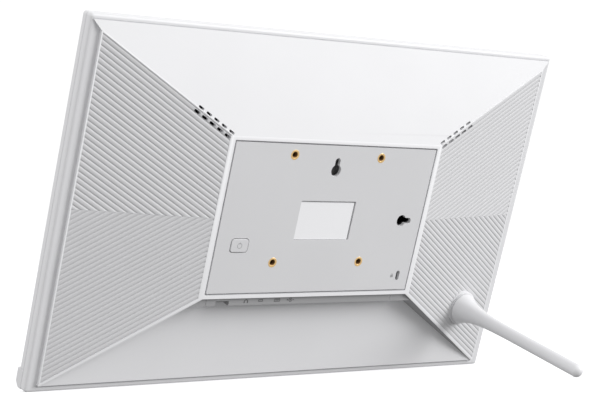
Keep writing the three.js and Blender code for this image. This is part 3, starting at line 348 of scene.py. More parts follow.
def tidy(obj):
    """Joins what the cutting has split inside flat faces."""
    bm = bmesh.new()
    bm.from_mesh(obj.data)
    bmesh.ops.remove_doubles(bm, verts=bm.verts, dist=WELD)
    bmesh.ops.dissolve_limit(
        bm, angle_limit=math.radians(FLAT_WITHIN), verts=bm.verts, edges=bm.edges)
    bmesh.ops.recalc_face_normals(bm, faces=bm.faces)
    bm.to_mesh(obj.data)
    bm.free()
    return obj


def soften(obj, width, segments=3, angle=30):
    """Rounds the edges that turn by more than the angle."""
    modifier = obj.modifiers.new("edge", "BEVEL")
    modifier.width = width
    modifier.segments = segments
    modifier.limit_method = "ANGLE"
    modifier.angle_limit = math.radians(angle)
    modifier.use_clamp_overlap = True
    modifier.harden_normals = False
    return applied(obj)


def shaded(obj, angle):
    """Smooth shading, with sharp edges from the angle up."""
    obj.data.shade_smooth()
    obj.data.set_sharp_from_angle(angle=math.radians(angle))
    return obj


def piece(obj, name, body, material, stands_for=(), smooth=40):
    """Leans the shape into the row frame and hands it over as a named piece."""
    obj.data.transform(PLACE)
    obj.data.update()
    obj.name = name
    obj.data.name = name
    shaded(obj, smooth)
    obj.data.materials.clear()
    obj.data.materials.append(material)
    weighted = obj.modifiers.new("normals", "WEIGHTED_NORMAL")
    weighted.keep_sharp = True
    weighted.weight = 100
    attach(obj, body)
    if stands_for:
        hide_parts(*stands_for)
    return obj


def joined(objects):
    """Several separate shells as one mesh."""
    bm = bmesh.new()
    for obj in objects:
        bm.from_mesh(obj.data)
    for obj in objects:
        bpy.data.objects.remove(obj)
    return made(bm)


# ---------------------------------------------------------------- materials

PATCH_SCALE = 18.0            # broad variation of colour
PATCH_DETAIL = 2.0
GRAIN_DETAIL = 4.0
NOISE_RANGE = (0.3, 0.7)      # the values that the noise mostly takes
ROUGHNESS_SPREAD = 0.15
GLASS_SMEAR_SCALE = 60.0


def new_material(name):
    """A material, its node tree, its shader and its object coordinates."""
    material = bpy.data.materials.new(name)
    material.use_nodes = True
    tree = material.node_tree
    shader = tree.nodes["Principled BSDF"]
    coordinates = tree.nodes.new("ShaderNodeTexCoord")
    return material, tree, shader, coordinates.outputs["Object"]


def noise(tree, vector, scale, detail=3.0, stretch=None):
    """Noise over the surface, drawn out where stretch is given."""
    if stretch:
        mapping = tree.nodes.new("ShaderNodeMapping")
        mapping.inputs["Scale"].default_value = stretch
        tree.links.new(vector, mapping.inputs["Vector"])
        vector = mapping.outputs["Vector"]
    texture = tree.nodes.new("ShaderNodeTexNoise")
    texture.inputs["Scale"].default_value = scale
    texture.inputs["Detail"].default_value = detail
    tree.links.new(vector, texture.inputs["Vector"])
    return texture.outputs["Fac"]


def ranged(tree, value, low, high):
    """Spreads a noise value over low to high."""
    node = tree.nodes.new("ShaderNodeMapRange")
    node.inputs["From Min"].default_value = NOISE_RANGE[0]
    node.inputs["From Max"].default_value = NOISE_RANGE[1]
    node.inputs["To Min"].default_value = low
    node.inputs["To Max"].default_value = high
    tree.links.new(value, node.inputs["Value"])
    return node.outputs["Result"]


def blended(tree, value, first, second):
    """A colour between two, by the value."""
    node = tree.nodes.new("ShaderNodeMix")
    node.data_type = "RGBA"
    node.inputs["A"].default_value = (*first, 1)
    node.inputs["B"].default_value = (*second, 1)
    tree.links.new(value, node.inputs["Factor"])
    return node.outputs["Result"]


def bumped(tree, shader, height, distance, strength=1.0):
    """Fine relief on the shader's normal, its depth in metres."""
    node = tree.nodes.new("ShaderNodeBump")
    node.inputs["Distance"].default_value = distance
    node.inputs["Strength"].default_value = strength
    tree.links.new(height, node.inputs["Height"])
    tree.links.new(node.outputs["Normal"], shader.inputs["Normal"])


def surface(name, colour, roughness, grain, depth, metallic=0.0, tone=0.02, stretch=None,
            coat=0.0):
    """A material whose colour, roughness and fine relief all vary a little over the surface."""
    material, tree, shader, place = new_material(name)
    broad = noise(tree, place, PATCH_SCALE, PATCH_DETAIL)
    fine = noise(tree, place, grain, GRAIN_DETAIL, stretch)
    darker = tuple(c * (1 - tone) for c in colour)
    tree.links.new(blended(tree, ranged(tree, broad, 0, 1), darker, colour),
                   shader.inputs["Base Color"])
    smoothest = roughness * (1 - ROUGHNESS_SPREAD)
    roughest = min(1.0, roughness * (1 + ROUGHNESS_SPREAD))
    tree.links.new(ranged(tree, fine, smoothest, roughest), shader.inputs["Roughness"])
    shader.inputs["Metallic"].default_value = metallic
    shader.inputs["Coat Weight"].default_value = coat
    bumped(tree, shader, fine, depth)
    return material


def grey(value, cool=0.02):
    """A grey that leans slightly to blue."""
    return (value, value, min(1.0, value * (1 + cool)))


# surface(name, colour, roughness, grain scale, relief depth, metallic)
LOOK = {
    "white_plastic": surface("white_plastic", grey(0.80), 0.42, 5200, 0.00002),
    "foot_plastic": surface("foot_plastic", grey(0.76), 0.5, 5200, 0.00002),
    "panel_grey": surface("panel_grey", grey(0.72), 0.55, 3800, 0.00004),
    "soft_white": surface("soft_white", grey(0.74), 0.7, 4200, 0.00003),
    "mat_card": surface("mat_card", (0.86, 0.85, 0.82), 0.9, 1800, 0.00006, tone=0.04),
    "screen_black": surface("screen_black", grey(0.012), 0.18, 6000, 0.000004, coat=0.6),
    "light_film": surface("light_film", grey(0.85), 0.4, 3000, 0.00001),
    "tray_aluminium": surface("tray_aluminium", grey(0.62), 0.42, 900, 0.00002, 1.0,
                              stretch=(1, 9, 9)),
    "brass": surface("brass", (1.0, 0.68, 0.30), 0.35, 2600, 0.00002, 0.35, tone=0.08),
    "steel": surface("steel", grey(0.46), 0.34, 1400, 0.00002, 1.0, stretch=(1, 12, 12), tone=0.1),
    "black_plastic": surface("black_plastic", grey(0.025), 0.5, 4200, 0.00003),
    "board_green": surface("board_green", (0.02, 0.13, 0.06), 0.4, 900, 0.00004, tone=0.3),
    "label_film": surface("label_film", grey(0.93), 0.6, 2400, 0.00002),
    "speaker_foam": surface("speaker_foam", grey(0.03), 0.95, 1600, 0.00025),
}
# darker grey on the ribs: painted shade of their fine grooves, on a matter surface than the borders
RIBS_MATTE_AND_SHADE = surface("ribbed_matte_painted_shade", grey(0.67), 0.6, 5200, 0.00003)
# dark brown for the threaded bores: painted shade inside the holes
BORE_PAINTED_SHADE = surface("brass_painted_shade", (0.16, 0.075, 0.02), 0.5, 2600, 0.00002, 0.6, tone=0.12)
# dark grey: painted shade on the strip, its band and the scoop's side walls, under the lip
PAINTED_SHADE_GREY = surface("strip_painted_shade", grey(0.36), 0.55, 5200, 0.00003)
# paler white: painted light on the flat borders that face the back, with a glossier surface as well
GLOSS_AND_PAINTED_LIGHT = surface("polished_plastic_painted_light", grey(0.91), 0.35, 5200, 0.00001)
MARK = surface("printed_mark", grey(0.09), 0.6, 4200, 0.00001)
PALE_MARK = surface("moulded_mark", grey(0.36), 0.55, 4200, 0.00001)


def glass_material():
    """Clear cover glass with a trace of smear."""
    material, tree, shader, place = new_material("front_glass")
    shader.inputs["Base Color"].default_value = (0.97, 0.985, 0.98, 1)
    shader.inputs["Transmission Weight"].default_value = 1.0
    shader.inputs["IOR"].default_value = 1.5
    smear = noise(tree, place, GLASS_SMEAR_SCALE)
    tree.links.new(ranged(tree, smear, 0.0, 0.02), shader.inputs["Roughness"])
    return material


LOOK["front_glass"] = glass_material()

# every CAD node that is shown takes the material of its record slot
for entry in frame["record"]["subparts"]:
    mesh = nodes[entry["node"]].data
    mesh.materials.clear()
    mesh.materials.append(LOOK[entry["material_slot"]])

# ---------------------------------------------------------------- rear cover

def slopes_at(depth, wall=0.0):
    """Half width, bottom and top of the raised back at a depth, inside a wall."""
    forward = BACK - depth
    return (
        PLATEAU_HALF + forward * RUN_SIDE - wall * math.hypot(1, RUN_SIDE),
        PLATEAU_BOTTOM - forward * RUN_BOTTOM + wall * math.hypot(1, RUN_BOTTOM),
        PLATEAU_TOP + forward * RUN_TOP - wall * math.hypot(1, RUN_TOP),
    )


def pyramid(front, back, wall=0.0):
    """The raised back between two depths."""
    levels = (slopes_at(front, wall), slopes_at(back, wall))

    def corner(right, rear, upper):
        half, bottom, top = levels[rear]
        return (half if right else -half, back if rear else front, top if upper else bottom)

    return hexahedron(corner)


def scoop_wedge(grow):
    """The space between the scoop's two leaning side walls."""
    lip = PLATEAU_HALF - SCOOP_BORDER + grow
    rim = HALF - MARGIN_SIDE - SCOOP_BORDER + grow
    per_depth = SCOOP_LEAN / (BACK - FLOOR_TOP)
    per_height = (rim - lip + per_depth * SLOPE_RISE) / (MARGIN_BOTTOM - PLATEAU_BOTTOM)
    depths = (FLOOR_BOTTOM - 2 * WALL, BACK + 2 * WALL)
    heights = (MARGIN_BOTTOM - 2 * WALL, PLATEAU_BOTTOM + 2 * WALL)

    def corner(right, rear, upper):
        y, z = depths[rear], heights[upper]
        half = lip + per_depth * (y - BACK) + per_height * (z - PLATEAU_BOTTOM)
        return (half if right else -half, y, z)

    return hexahedron(corner)


def scoop(grow):
    """What the scoop takes out of the raised back, grown for the wall behind it."""
    steps = 16
    floor = []
    for i in range(steps + 1):
        z = STRIP_BOTTOM + (MARGIN_BOTTOM - STRIP_BOTTOM) * i / steps
        share = (z - MARGIN_BOTTOM) / (STRIP_BOTTOM - MARGIN_BOTTOM)
        y = FLOOR_BOTTOM + (FLOOR_TOP - FLOOR_BOTTOM) * share * share
        floor.append((y - grow, z + (grow if i == 0 else 0)))
    lowest = MARGIN_BOTTOM - grow - HAIR
    outside = BACK + 2 * WALL
    profile = [
        (outside, PLATEAU_BOTTOM + grow), (STRIP_BACK - grow, PLATEAU_BOTTOM + grow),
        (STRIP_BACK - grow, STRIP_BOTTOM + grow), *floor,
        (FLOOR_BOTTOM - grow, lowest), (outside, lowest),
    ]
    return common(beam(profile, -HALF, HALF), scoop_wedge(grow))


def speaker_slots(side):
    """Two rows of slots along the start of one upper hip, as one cutter."""
    found = []
    tilt = side * math.atan2(RUN_TOP, RUN_SIDE)
    c, s = math.cos(tilt), math.sin(tilt)
    for offset, stagger, length, width in SLOT_ROWS:
        for i in range(SLOTS_IN_ROW):
            x = side * (PLATEAU_HALF + SLOT_START + i * SLOT_PITCH - stagger)
            outline = []
            radius = width / 2
            for end, start in ((1, -90), (-1, 90)):
                for k in range(9):
                    angle = math.radians(start + 180 * k / 8)
                    px = end * (length / 2 - radius) + radius * math.cos(angle)
                    pz = radius * math.sin(angle)
                    outline.append((x + px * c - pz * s, upper_hip(x) + offset + px * s + pz * c))
            found.append(prism(outline, wing_depth(x) - 3 * WALL, wing_depth(x) + WALL))
    return joined(found)


RIB_INNER = PLATEAU_HALF + RIB_FROM_PLATEAU
RIB_OUTER = HALF - MARGIN_SIDE - RIB_EDGE


def rib_pocket(side):
    """The shallow pocket that one side's ribs lie in."""
    outline = [
        (side * RIB_INNER, lower_hip(RIB_INNER) + RIB_FROM_LOWER_HIP),
        (side * RIB_OUTER, lower_hip(RIB_OUTER) + RIB_FROM_LOWER_HIP),
        (side * RIB_OUTER, upper_hip(RIB_OUTER) - RIB_FROM_UPPER_HIP),
        (side * RIB_INNER, upper_hip(RIB_INNER) - RIB_FROM_UPPER_HIP),
    ]
    return prism(outline, lambda x: wing_depth(x) - RIB_DEPTH, BACK + WALL)


# one rib's section: share of the pitch across, and height in rib depths
RIB_PROFILE = (
    (-0.5, -1.25), (-0.5, -1.0), (-0.44, -0.82), (-0.35, -0.36), (-0.24, -0.09), (-0.1, 0.0),
    (0.1, 0.0), (0.24, -0.09), (0.35, -0.36), (0.44, -0.82), (0.5, -1.0), (0.5, -1.25),
)


def ribs(side, hip, up, border):
    """Ribs that run along one hip and end at the level of the panel's middle."""
    rise = (hip(RIB_OUTER) - hip(RIB_INNER)) / (RIB_OUTER - RIB_INNER)
    found = []
    count = int((abs(hip(RIB_OUTER) - PANEL_MID) - border) / RIB_PITCH) + 2
    for i in range(count):
        first, last = [], []
        for across, height in RIB_PROFILE:
            drop = border + (i + 0.5 + across) * RIB_PITCH
            start = RIB_INNER + (PANEL_MID + up * drop - hip(RIB_INNER)) / rise
            start = min(max(start, RIB_INNER), RIB_OUTER)
            for points, x in ((first, start), (last, RIB_OUTER)):
                z = hip(x) - up * drop
                points.append((side * x, wing_depth(x) + RIB_DEPTH * height, z))
        if all(abs(a[0] - b[0]) < SHORTEST_RIB for a, b in zip(first, last)):
            continue
        rib = loft([first, last])
        if up > 0 and i < RIBS_AT_SLOTS:
            cut(rib, speaker_slots(side))
        found.append(rib)
    return found


def hip_ridge(side):
    """The thin raised line where a side slope meets the top slope."""
    loops = []
    along = Vector((side, -1 / RUN_SIDE, RUN_TOP / RUN_SIDE)).normalized()
    side_out = Vector((side / RUN_SIDE, 1, 0)).normalized()
    out = side_out + Vector((0, 1, 1 / RUN_TOP)).normalized()
    out.normalize()
    across = out.cross(along)
    for x in (PLATEAU_HALF + 0.6, HALF - MARGIN_SIDE - 1.0):
        base = Vector((side * x, wing_depth(x), upper_hip(x)))
        ring = []
        for k in range(9):
            angle = math.pi * k / 8
            ring.append(base + across * RIDGE_HALF * math.cos(angle)
                        + out * (RIDGE_HEIGHT * math.sin(angle) - RIDGE_SUNK))
        ring.append(base + across * -RIDGE_HALF - out * RIDGE_ROOT)
        ring.append(base + across * RIDGE_HALF - out * RIDGE_ROOT)
        loops.append(ring)
    return loft(loops)


LEDGE_BORDER = 1.1            # panel's edge to the recess
LEDGE_WIDTH = 2.6
LIP_DEPTH = 2.4               # of the ring that goes into the middle frame
LIP_WALL = 1.6
SEAT_RADIUS = 12.9            # of the leg's seat, and the rounding of its edge
SEAT_EDGE = ((SEAT_RADIUS, 0.5), (12.75, 0.15), (12.4, 0.0))
STRIP_WINDOW_SINK = 0.5
WALL_DOWN = -0.55             # normals of the scoop's side walls, which get painted shade: how far down and inwards
WALL_INWARDS = 0.25
FACES_BACK = 0.95             # normals of the flat borders, which get painted light
FACES_LEVEL = 0.1


def build_cover():
    """The white back: rim, raised back, recess, scoop, leg seat, ribs and slots."""
    leg_x, leg_z = middle(span("leg_stud")[0]), middle(span("leg_stud")[2])
    seat = span("leg_washer")[1][0] - GAP
    turns = [math.pi / 2 * i / 8 for i in range(9)]
    shell = stacked([(0, COVER_FRONT)] + [
        (RIM_ROUND_WIDE * (1 - math.cos(a)), RIM_BACK - RIM_ROUND_DEEP * (1 - math.sin(a)))
        for a in turns])
    wide = HALF - MARGIN_SIDE
    shoulder = HEIGHT - MARGIN_TOP
    crown = HEIGHT - BEAD
    crown_half = HALF - BEAD_SIDE
    outline = [
        (-wide, MARGIN_BOTTOM), (wide, MARGIN_BOTTOM), (wide, shoulder), (crown_half, crown),
        (-crown_half, crown), (-wide, shoulder),
    ]
    raised = common(prism(outline, COVER_FRONT + 0.2, BACK + WALL), pyramid(0, BACK))
    fuse(shell, raised)
    inset = MIDDLE_WIDTH + GAP
    fuse(shell, prism(
        rounded(inset - HALF, HALF - inset, inset, HEIGHT - inset, 1.0, 2),
        COVER_FRONT - LIP_DEPTH, COVER_FRONT + 0.5))
    cavity_inset = inset + LIP_WALL
    cavity = common(
        block(cavity_inset - HALF, HALF - cavity_inset, 0, BACK,
              cavity_inset, HEIGHT - cavity_inset),
        pyramid(0, LEDGE_FRONT, WALL))
    cut(cavity, scoop(WALL))
    cut(shell, cavity)
    cut(shell, scoop(0))
    half = panel[0][1] + LEDGE_BORDER
    tall = (panel[2][1] - panel[2][0]) / 2 + LEDGE_BORDER
    recess = prism(
        rounded(-half, half, PANEL_MID - tall, PANEL_MID + tall, 0.8, 4),
        PANEL_FRONT - GAP, BACK + 1)
    opening = block(-half + LEDGE_WIDTH, half - LEDGE_WIDTH, LEDGE_FRONT - 1, BACK,
                    PANEL_MID - tall + LEDGE_WIDTH, PANEL_MID + tall - LEDGE_WIDTH)
    window = block(strip[0][0] - GAP, strip[0][1] + GAP, FLOOR_TOP + GAP, STRIP_BACK + GAP,
                   STRIP_BOTTOM - STRIP_WINDOW_SINK, PLATEAU_BOTTOM - GAP)
    cut(shell, recess, opening, window)
    # the fine line between the top slope and the bead along the upper edge
    line = block(-crown_half, crown_half, RIM_BACK - BEAD_LINE[0], RIM_BACK + 2 * HAIR,
                 crown, crown + BEAD_LINE[1])
    groove = block(-wide, wide, RIM_BACK - GROOVE_DEPTH, RIM_BACK + 2 * HAIR,
                   MARGIN_BOTTOM - GROOVE[0], MARGIN_BOTTOM - GROOVE[1])
    cut(shell, line, groove, rib_pocket(-1), rib_pocket(1))
    root = wing_depth(leg_x) - WALL
    fuse(shell, lathe(
        [(0, root), (SEAT_RADIUS, root)]
        + [(radius, seat - down) for radius, down in SEAT_EDGE] + [(0, seat)],
        leg_x, leg_z, 64))
    socket = span("leg_socket")
    bore = (socket[0][1] - socket[0][0]) / 2 + GAP
    fuse(shell, rod(bore + 2.2, socket[1][0] - GAP - 1.0, wing_depth(leg_x), leg_x, leg_z))
    cut(shell, rod(bore, socket[1][0] - GAP, BACK, leg_x, leg_z))
    cut(shell, speaker_slots(-1), speaker_slots(1))
    tidy(shell)
    soften(shell, 0.3, 2, 28)
    lines = []
    for side in (-1, 1):
        lines += ribs(side, upper_hip, 1, RIB_FROM_UPPER_HIP)
        lines += ribs(side, lower_hip, -1, RIB_FROM_LOWER_HIP)
    # the ribs take a darker grey: painted shade of their grooves
    piece(joined(lines), "cover_ribs", "frame_body", RIBS_MATTE_AND_SHADE, smooth=22)
    shell = joined([shell, hip_ridge(-1), hip_ridge(1)])
    # faces with painted light: painted shade on the strip's band and the scoop's walls, and painted light on the
    # flat borders
    painted_light_faces = []
    for face in shell.data.polygons:
        (_, y, z), normal = face.center, face.normal
        inwards = normal.x * face.center.x < 0 and abs(normal.x) > WALL_INWARDS
        side_wall = normal.z < WALL_DOWN and inwards
        if side_wall and y > FLOOR_BOTTOM and z < PLATEAU_BOTTOM:
            painted_light_faces.append((face.index, 1))
        if normal.y < FACES_BACK or abs(normal.z) > FACES_LEVEL:
            continue
        if abs(y - STRIP_BACK) < 0.4 and STRIP_BOTTOM - 1 < z < PLATEAU_BOTTOM:
            painted_light_faces.append((face.index, 1))
        elif y > RIM_BACK + 1 and not (z < PLATEAU_BOTTOM and y < wing_depth(face.center.x) - 1):
            painted_light_faces.append((face.index, 2))
    piece(shell, "cover_shell", "frame_body", LOOK["white_plastic"],
          ("rear_cover",), 22)
    shell.data.materials.append(PAINTED_SHADE_GREY)
    shell.data.materials.append(GLOSS_AND_PAINTED_LIGHT)
    for index, slot in painted_light_faces:
        shell.data.polygons[index].material_index = slot


build_cover()

# ---------------------------------------------------------------- front and sides

BEZEL_WIDTH = 18.0
EDGE_STEP = 0.2               # the small chamfers at the parting lines
EDGE_STEP_BACK = 0.25
BEZEL_ROUND = ((1.1, 0), (0.5, 0.15), (0.15, 0.5), (0, 1.1))
FOOT_CHAMFER = 3.2


def build_front():
    """The bezel ring, the middle band and the two corner feet."""
    bezel = span("front_bezel")
    deep = bezel[1][1]
    ring = stacked([*BEZEL_ROUND, (0, deep - EDGE_STEP_BACK), (EDGE_STEP, deep)])
    cut(ring, block(BEZEL_WIDTH - HALF, HALF - BEZEL_WIDTH, -1, deep + 1,
                    BEZEL_WIDTH, HEIGHT - BEZEL_WIDTH))
    glass = span("cover_glass")
    cut(ring, block(glass[0][0] - GAP, glass[0][1] + GAP, glass[1][0] - GAP, deep + 1,
                    glass[2][0] - GAP, glass[2][1] + GAP))
    for name in ("corner_foot_left", "corner_foot_right"):
        foot = span(name)
        cut(ring, block(foot[0][0] - GAP, foot[0][1] + GAP, -1, deep + 1, -1, foot[2][1] + GAP))
    tidy(ring)
    soften(ring, 0.35, 3, 35)
    piece(ring, "bezel_ring", "frame_body", LOOK["white_plastic"],
          ("front_bezel",))

    y0, y1 = middle_ring[1]
    band = stacked([(EDGE_STEP, y0), (0, y0 + EDGE_STEP), (0, y1 - EDGE_STEP_BACK),
                    (EDGE_STEP, y1)])
    cut(band, block(MIDDLE_WIDTH - HALF, HALF - MIDDLE_WIDTH, y0 - 1, y1 + 1,
                    MIDDLE_WIDTH, HEIGHT - MIDDLE_WIDTH))
    piece(tidy(band), "middle_band", "frame_body", LOOK["white_plastic"],
          ("middle_frame",))

    for side in ("left", "right"):
        (x0, x1), (y0, y1), (z0, z1) = span("corner_foot_" + side)
        foot = beam([(y0, z1), (y0, FOOT_CHAMFER), (y0 + FOOT_CHAMFER, z0), (y1, z0), (y1, z1)],
                    x0, x1)
        soften(foot, 0.6, 4, 20)
        piece(foot, "foot_" + side, "frame_body", LOOK["foot_plastic"],
              ("corner_foot_" + side,))


build_front()

# ---------------------------------------------------------------- mount panel and what is set in it

KEYHOLE_RADIUS = 4.1
KEYHOLE_HALF = 2.1            # half width of the narrow part
KEYHOLE_REACH = 6.6           # from the round part's centre to the narrow part's end


def keyhole(x, z, turned_left, y0, y1):
    """A keyhole-shaped cutter, its narrow part upwards unless it is turned."""
    radius, half, far = KEYHOLE_RADIUS, KEYHOLE_HALF, KEYHOLE_REACH
    entry = math.asin(half / radius)
    points = []
    start, stop = math.pi / 2 + entry, 2.5 * math.pi - entry
    for i in range(33):
        angle = start + (stop - start) * i / 32
        points.append((radius * math.cos(angle), radius * math.sin(angle)))
    for i in range(17):
        angle = math.pi * i / 16
        points.append((half * math.cos(angle), far + half * math.sin(angle)))
    if turned_left:
        points = [(-b, a) for a, b in points]
    return prism([(x + a, z + b) for a, b in points], y0, y1)


button = span("power_button")
COLLAR = 1.6
label = span("label_plate")
inserts = [span("vesa_insert_%d" % i) for i in (1, 2, 3, 4)]
top_hole = span("keyhole_plate_top")
side_hole = span("keyhole_plate_side")
lock = span("lock_plate")
KEYHOLE_EDGE = KEYHOLE_RADIUS + 4.5    # round part's centre to its plate's edge
LOCK_HALF = (1.5, 3.6)
LOCK_RADIUS = 1.35
lock_x = lock[0][0] + 4.0
lock_z = middle(lock[2])
BUTTON_CORNER = 2.0
BUTTON_GAP = 0.5
HUB_RADIUS = 4.8              # round an insert, behind the panel
INSERT_HOLE = 3.1
BEHIND_PANEL = PANEL_FRONT - 5
LABEL_RECESS = 1.7
LABEL_SHRINK = (0.7, 0.8, 0.9)         # at one side, at the top, and in thickness


def button_outline(grow):
    """Outline of the button's cap, grown for its hole or its collar."""
    return rounded(button[0][0] + COLLAR - grow, button[0][1] - COLLAR + grow,
                   button[2][0] + COLLAR - grow, button[2][1] - COLLAR + grow,
                   BUTTON_CORNER + grow)


def build_panel():
    """The grey panel with its openings, and the blank sheet in its recess."""
    face = prism(rounded(*panel[0], *panel[2], 0.6, 5), PANEL_FRONT, BACK)
    hub = panel[1][0]
    for x, _, z in inserts:
        fuse(face, rod(HUB_RADIUS, hub, PANEL_FRONT + 1, middle(x), middle(z)))
    cutters = [rod(INSERT_HOLE, hub - 1, BACK + 1, middle(x), middle(z), 48)
               for x, _, z in inserts]
    cutters.append(keyhole(middle(top_hole[0]), top_hole[2][0] + KEYHOLE_EDGE, False,
                           BEHIND_PANEL, BACK + 1))
    cutters.append(keyhole(side_hole[0][1] - KEYHOLE_EDGE, middle(side_hole[2]), True,
                           BEHIND_PANEL, BACK + 1))
    cutters.append(prism(
        rounded(lock_x - LOCK_HALF[0], lock_x + LOCK_HALF[0],
                lock_z - LOCK_HALF[1], lock_z + LOCK_HALF[1], LOCK_RADIUS),
        BEHIND_PANEL, BACK + 1))
    cutters.append(prism(button_outline(BUTTON_GAP), BEHIND_PANEL, BACK + 1))
    cutters.append(prism(
        rounded(label[0][0] - GAP, label[0][1] + GAP, label[2][0] - GAP, label[2][1] + GAP, 0.8),
        BACK - LABEL_RECESS, BACK + 1))
    cut(face, *cutters)
    tidy(face)
    soften(face, 0.4, 3, 35)
    piece(face, "panel_face", "frame_body", LOOK["panel_grey"], ("mount_panel",))

    x, y, z = label
    side, top, thin = LABEL_SHRINK
    sheet = prism(rounded(x[0] + side, x[1], z[0], z[1] - top, 0.6), y[0], y[1] - thin)
    piece(sheet, "label_blank", "frame_body", LOOK["label_film"], ("label_plate",))


build_panel()


THREAD_CORE = 1.5
THREAD_CREST = 1.75
THREAD_PITCH = 0.7
INSERT_BORE = THREAD_CREST + 0.35
INSERT_FLANGE = 0.65          # how far the flange stands out


def build_inserts():
    """The brass inserts, each a flanged ring round a threaded bore whose dark brown is painted shade."""
    for i, (x, y, z) in enumerate(inserts, 1):
        radius = (x[1] - x[0]) / 2
        turns = [(THREAD_CORE, y[0]), (THREAD_CREST + 0.4, y[0]), (INSERT_BORE, y[1])]
        depth = y[1] - 0.4
        while depth - THREAD_PITCH > y[0] + 0.2:
            turns += [(THREAD_CORE, depth), (THREAD_CORE, depth - 0.15),
                      (THREAD_CREST, depth - THREAD_PITCH / 2)]
            depth -= THREAD_PITCH
        flange = radius + INSERT_FLANGE
        ring = lathe([
            (INSERT_BORE, y[0]), (radius, y[0]), (radius, BACK - 0.3), (flange, BACK - 0.3),
            (flange, BACK + 0.02), (flange - 0.15, BACK + 0.1), (THREAD_CREST + 0.6, BACK + 0.1),
            (INSERT_BORE, BACK - 0.15)], middle(x), middle(z), 40, ring=True)
        thread = lathe(turns, middle(x), middle(z), 40, ring=True)
        piece(ring, "insert_%d" % i, "frame_body", LOOK["brass"],
              ("vesa_insert_%d" % i,), 25)
        # the thread in dark brown: painted shade inside the hole
        piece(thread, "insert_thread_%d" % i, "frame_body", BORE_PAINTED_SHADE, smooth=25)


build_inserts()


INK_ROOT = 0.05               # marks are thin shapes that stand a little proud
INK_TOP = 0.04
STROKE = 0.48


def ring_mark(x, z, radius, width, y, sides=40):
    """A printed ring on a face at depth y."""
    low, high = y - INK_ROOT, y + INK_TOP
    return lathe([(radius - width / 2, low), (radius + width / 2, low),
                  (radius + width / 2, high), (radius - width / 2, high)], x, z, sides, ring=True)


def bar_mark(x, z, wide, tall, y):
    """A printed bar on a face at depth y."""
    return block(x - wide / 2, x + wide / 2, y - INK_ROOT, y + INK_TOP,
                 z - tall / 2, z + tall / 2)


def arch_mark(x, z, inner, outside, y, top, steps):
    """A printed half ring, open below."""
    low, high = y - INK_ROOT, y + top
    section = ((inner, low), (outside, low), (outside, high), (inner, high))
    return loft([
        [(x + r * math.cos(a), depth, z + r * math.sin(a)) for r, depth in section]
        for a in [math.pi * k / steps for k in range(steps + 1)]
    ])


def box_mark(x, z, wide, tall, y):
    """A printed frame of four bars; wide and tall reach to the middle of the side bars."""
    return [bar_mark(x, z + tall / 2, wide, STROKE, y), bar_mark(x, z - tall / 2, wide, STROKE, y),
            bar_mark(x - wide / 2, z, STROKE, tall + 0.2, y),
            bar_mark(x + wide / 2, z, STROKE, tall + 0.2, y)]


FLANGE_THICKNESS = 1.2
STEM_RADIUS = 2.2


def build_button():
    """The power button's cap, with the flange and stem behind the panel, and its mark."""
    x, z = middle(button[0]), middle(button[2])
    y0, y1 = button[1]
    collar = PANEL_FRONT - GAP
    cap = prism(button_outline(0), collar - FLANGE_THICKNESS, y1)
    soften(cap, 0.45, 4, 35)
    flange = prism(button_outline(COLLAR), collar - FLANGE_THICKNESS, collar)
    stem = rod(STEM_RADIUS, y0, collar - 1.0, x, z)
    piece(joined([cap, flange, stem]), "button_cap", "power_button",
          LOOK["panel_grey"], ("power_button",))
    mark = joined([ring_mark(x, z, 1.75, 0.3, y1), bar_mark(x, z + 1.6, 0.32, 1.5, y1)])
    piece(mark, "button_mark", "power_button", PALE_MARK)


build_button()


def build_marks():
    """Plain pictograms: a padlock beside its slot, and one for each socket along the strip."""
    x, z, y = lock_x + 5.5, lock_z - 0.3, BACK
    arch = arch_mark(x, z + 0.9, 0.62, 0.92, y, 0.03, 12)
    piece(joined([bar_mark(x, z, 2.4, 1.9, y), arch]), "lock_mark", "frame_body",
          PALE_MARK)

    y = STRIP_BACK
    low, high = strip[2]
    z = (low + high) / 2 + 0.4
    audio = middle(span("audio_jack")[0])
    headphones = [arch_mark(audio, z - 0.6, 1.15, 1.7, y, INK_TOP, 14)]
    headphones += [bar_mark(audio + way * 1.4, z - 0.9, 0.8, 1.3, y) for way in (-1, 1)]
    usb_c = middle(span("usb_c_port")[0])
    usb_a = middle(span("usb_a_port")[0]) + 1.5
    plug = box_mark(usb_a, z, 4.6, 1.7, y) + [bar_mark(usb_a, z + 0.1, 3.0, 0.5, y)]
    power = middle(span("power_jack")[0]) + 4.5
    supply = [ring_mark(power, z, 1.3, STROKE, y), ring_mark(power, z, 0.35, 0.5, y)]
    supply += [bar_mark(power + way * 2.6, z, 1.1, STROKE, y) for way in (-1, 1)]
    supply.append(bar_mark(power + 2.6, z, STROKE, 1.1, y))
    piece(joined(headphones + box_mark(usb_c, z, 3.4, 1.1, y) + plug + supply), "socket_marks",
          "frame_body", MARK)


build_marks()


STRIP_PLATE = 1.8             # thickness of its two walls
PORT_DEPTH = 20.8             # of the sockets' axes
# each mouth's half width and half depth, or its radius alone
PORT_MOUTHS = (
    ("card_slot", 5.8, 0.9), ("audio_jack", 2.7, None), ("usb_c_port", 4.5, 1.6),
    ("usb_a_port", 6.4, 2.6), ("power_jack", 3.4, None),
)
CARD_NOTCH = (5.4, 21.3, 3.2)          # half width, front depth, height above the floor


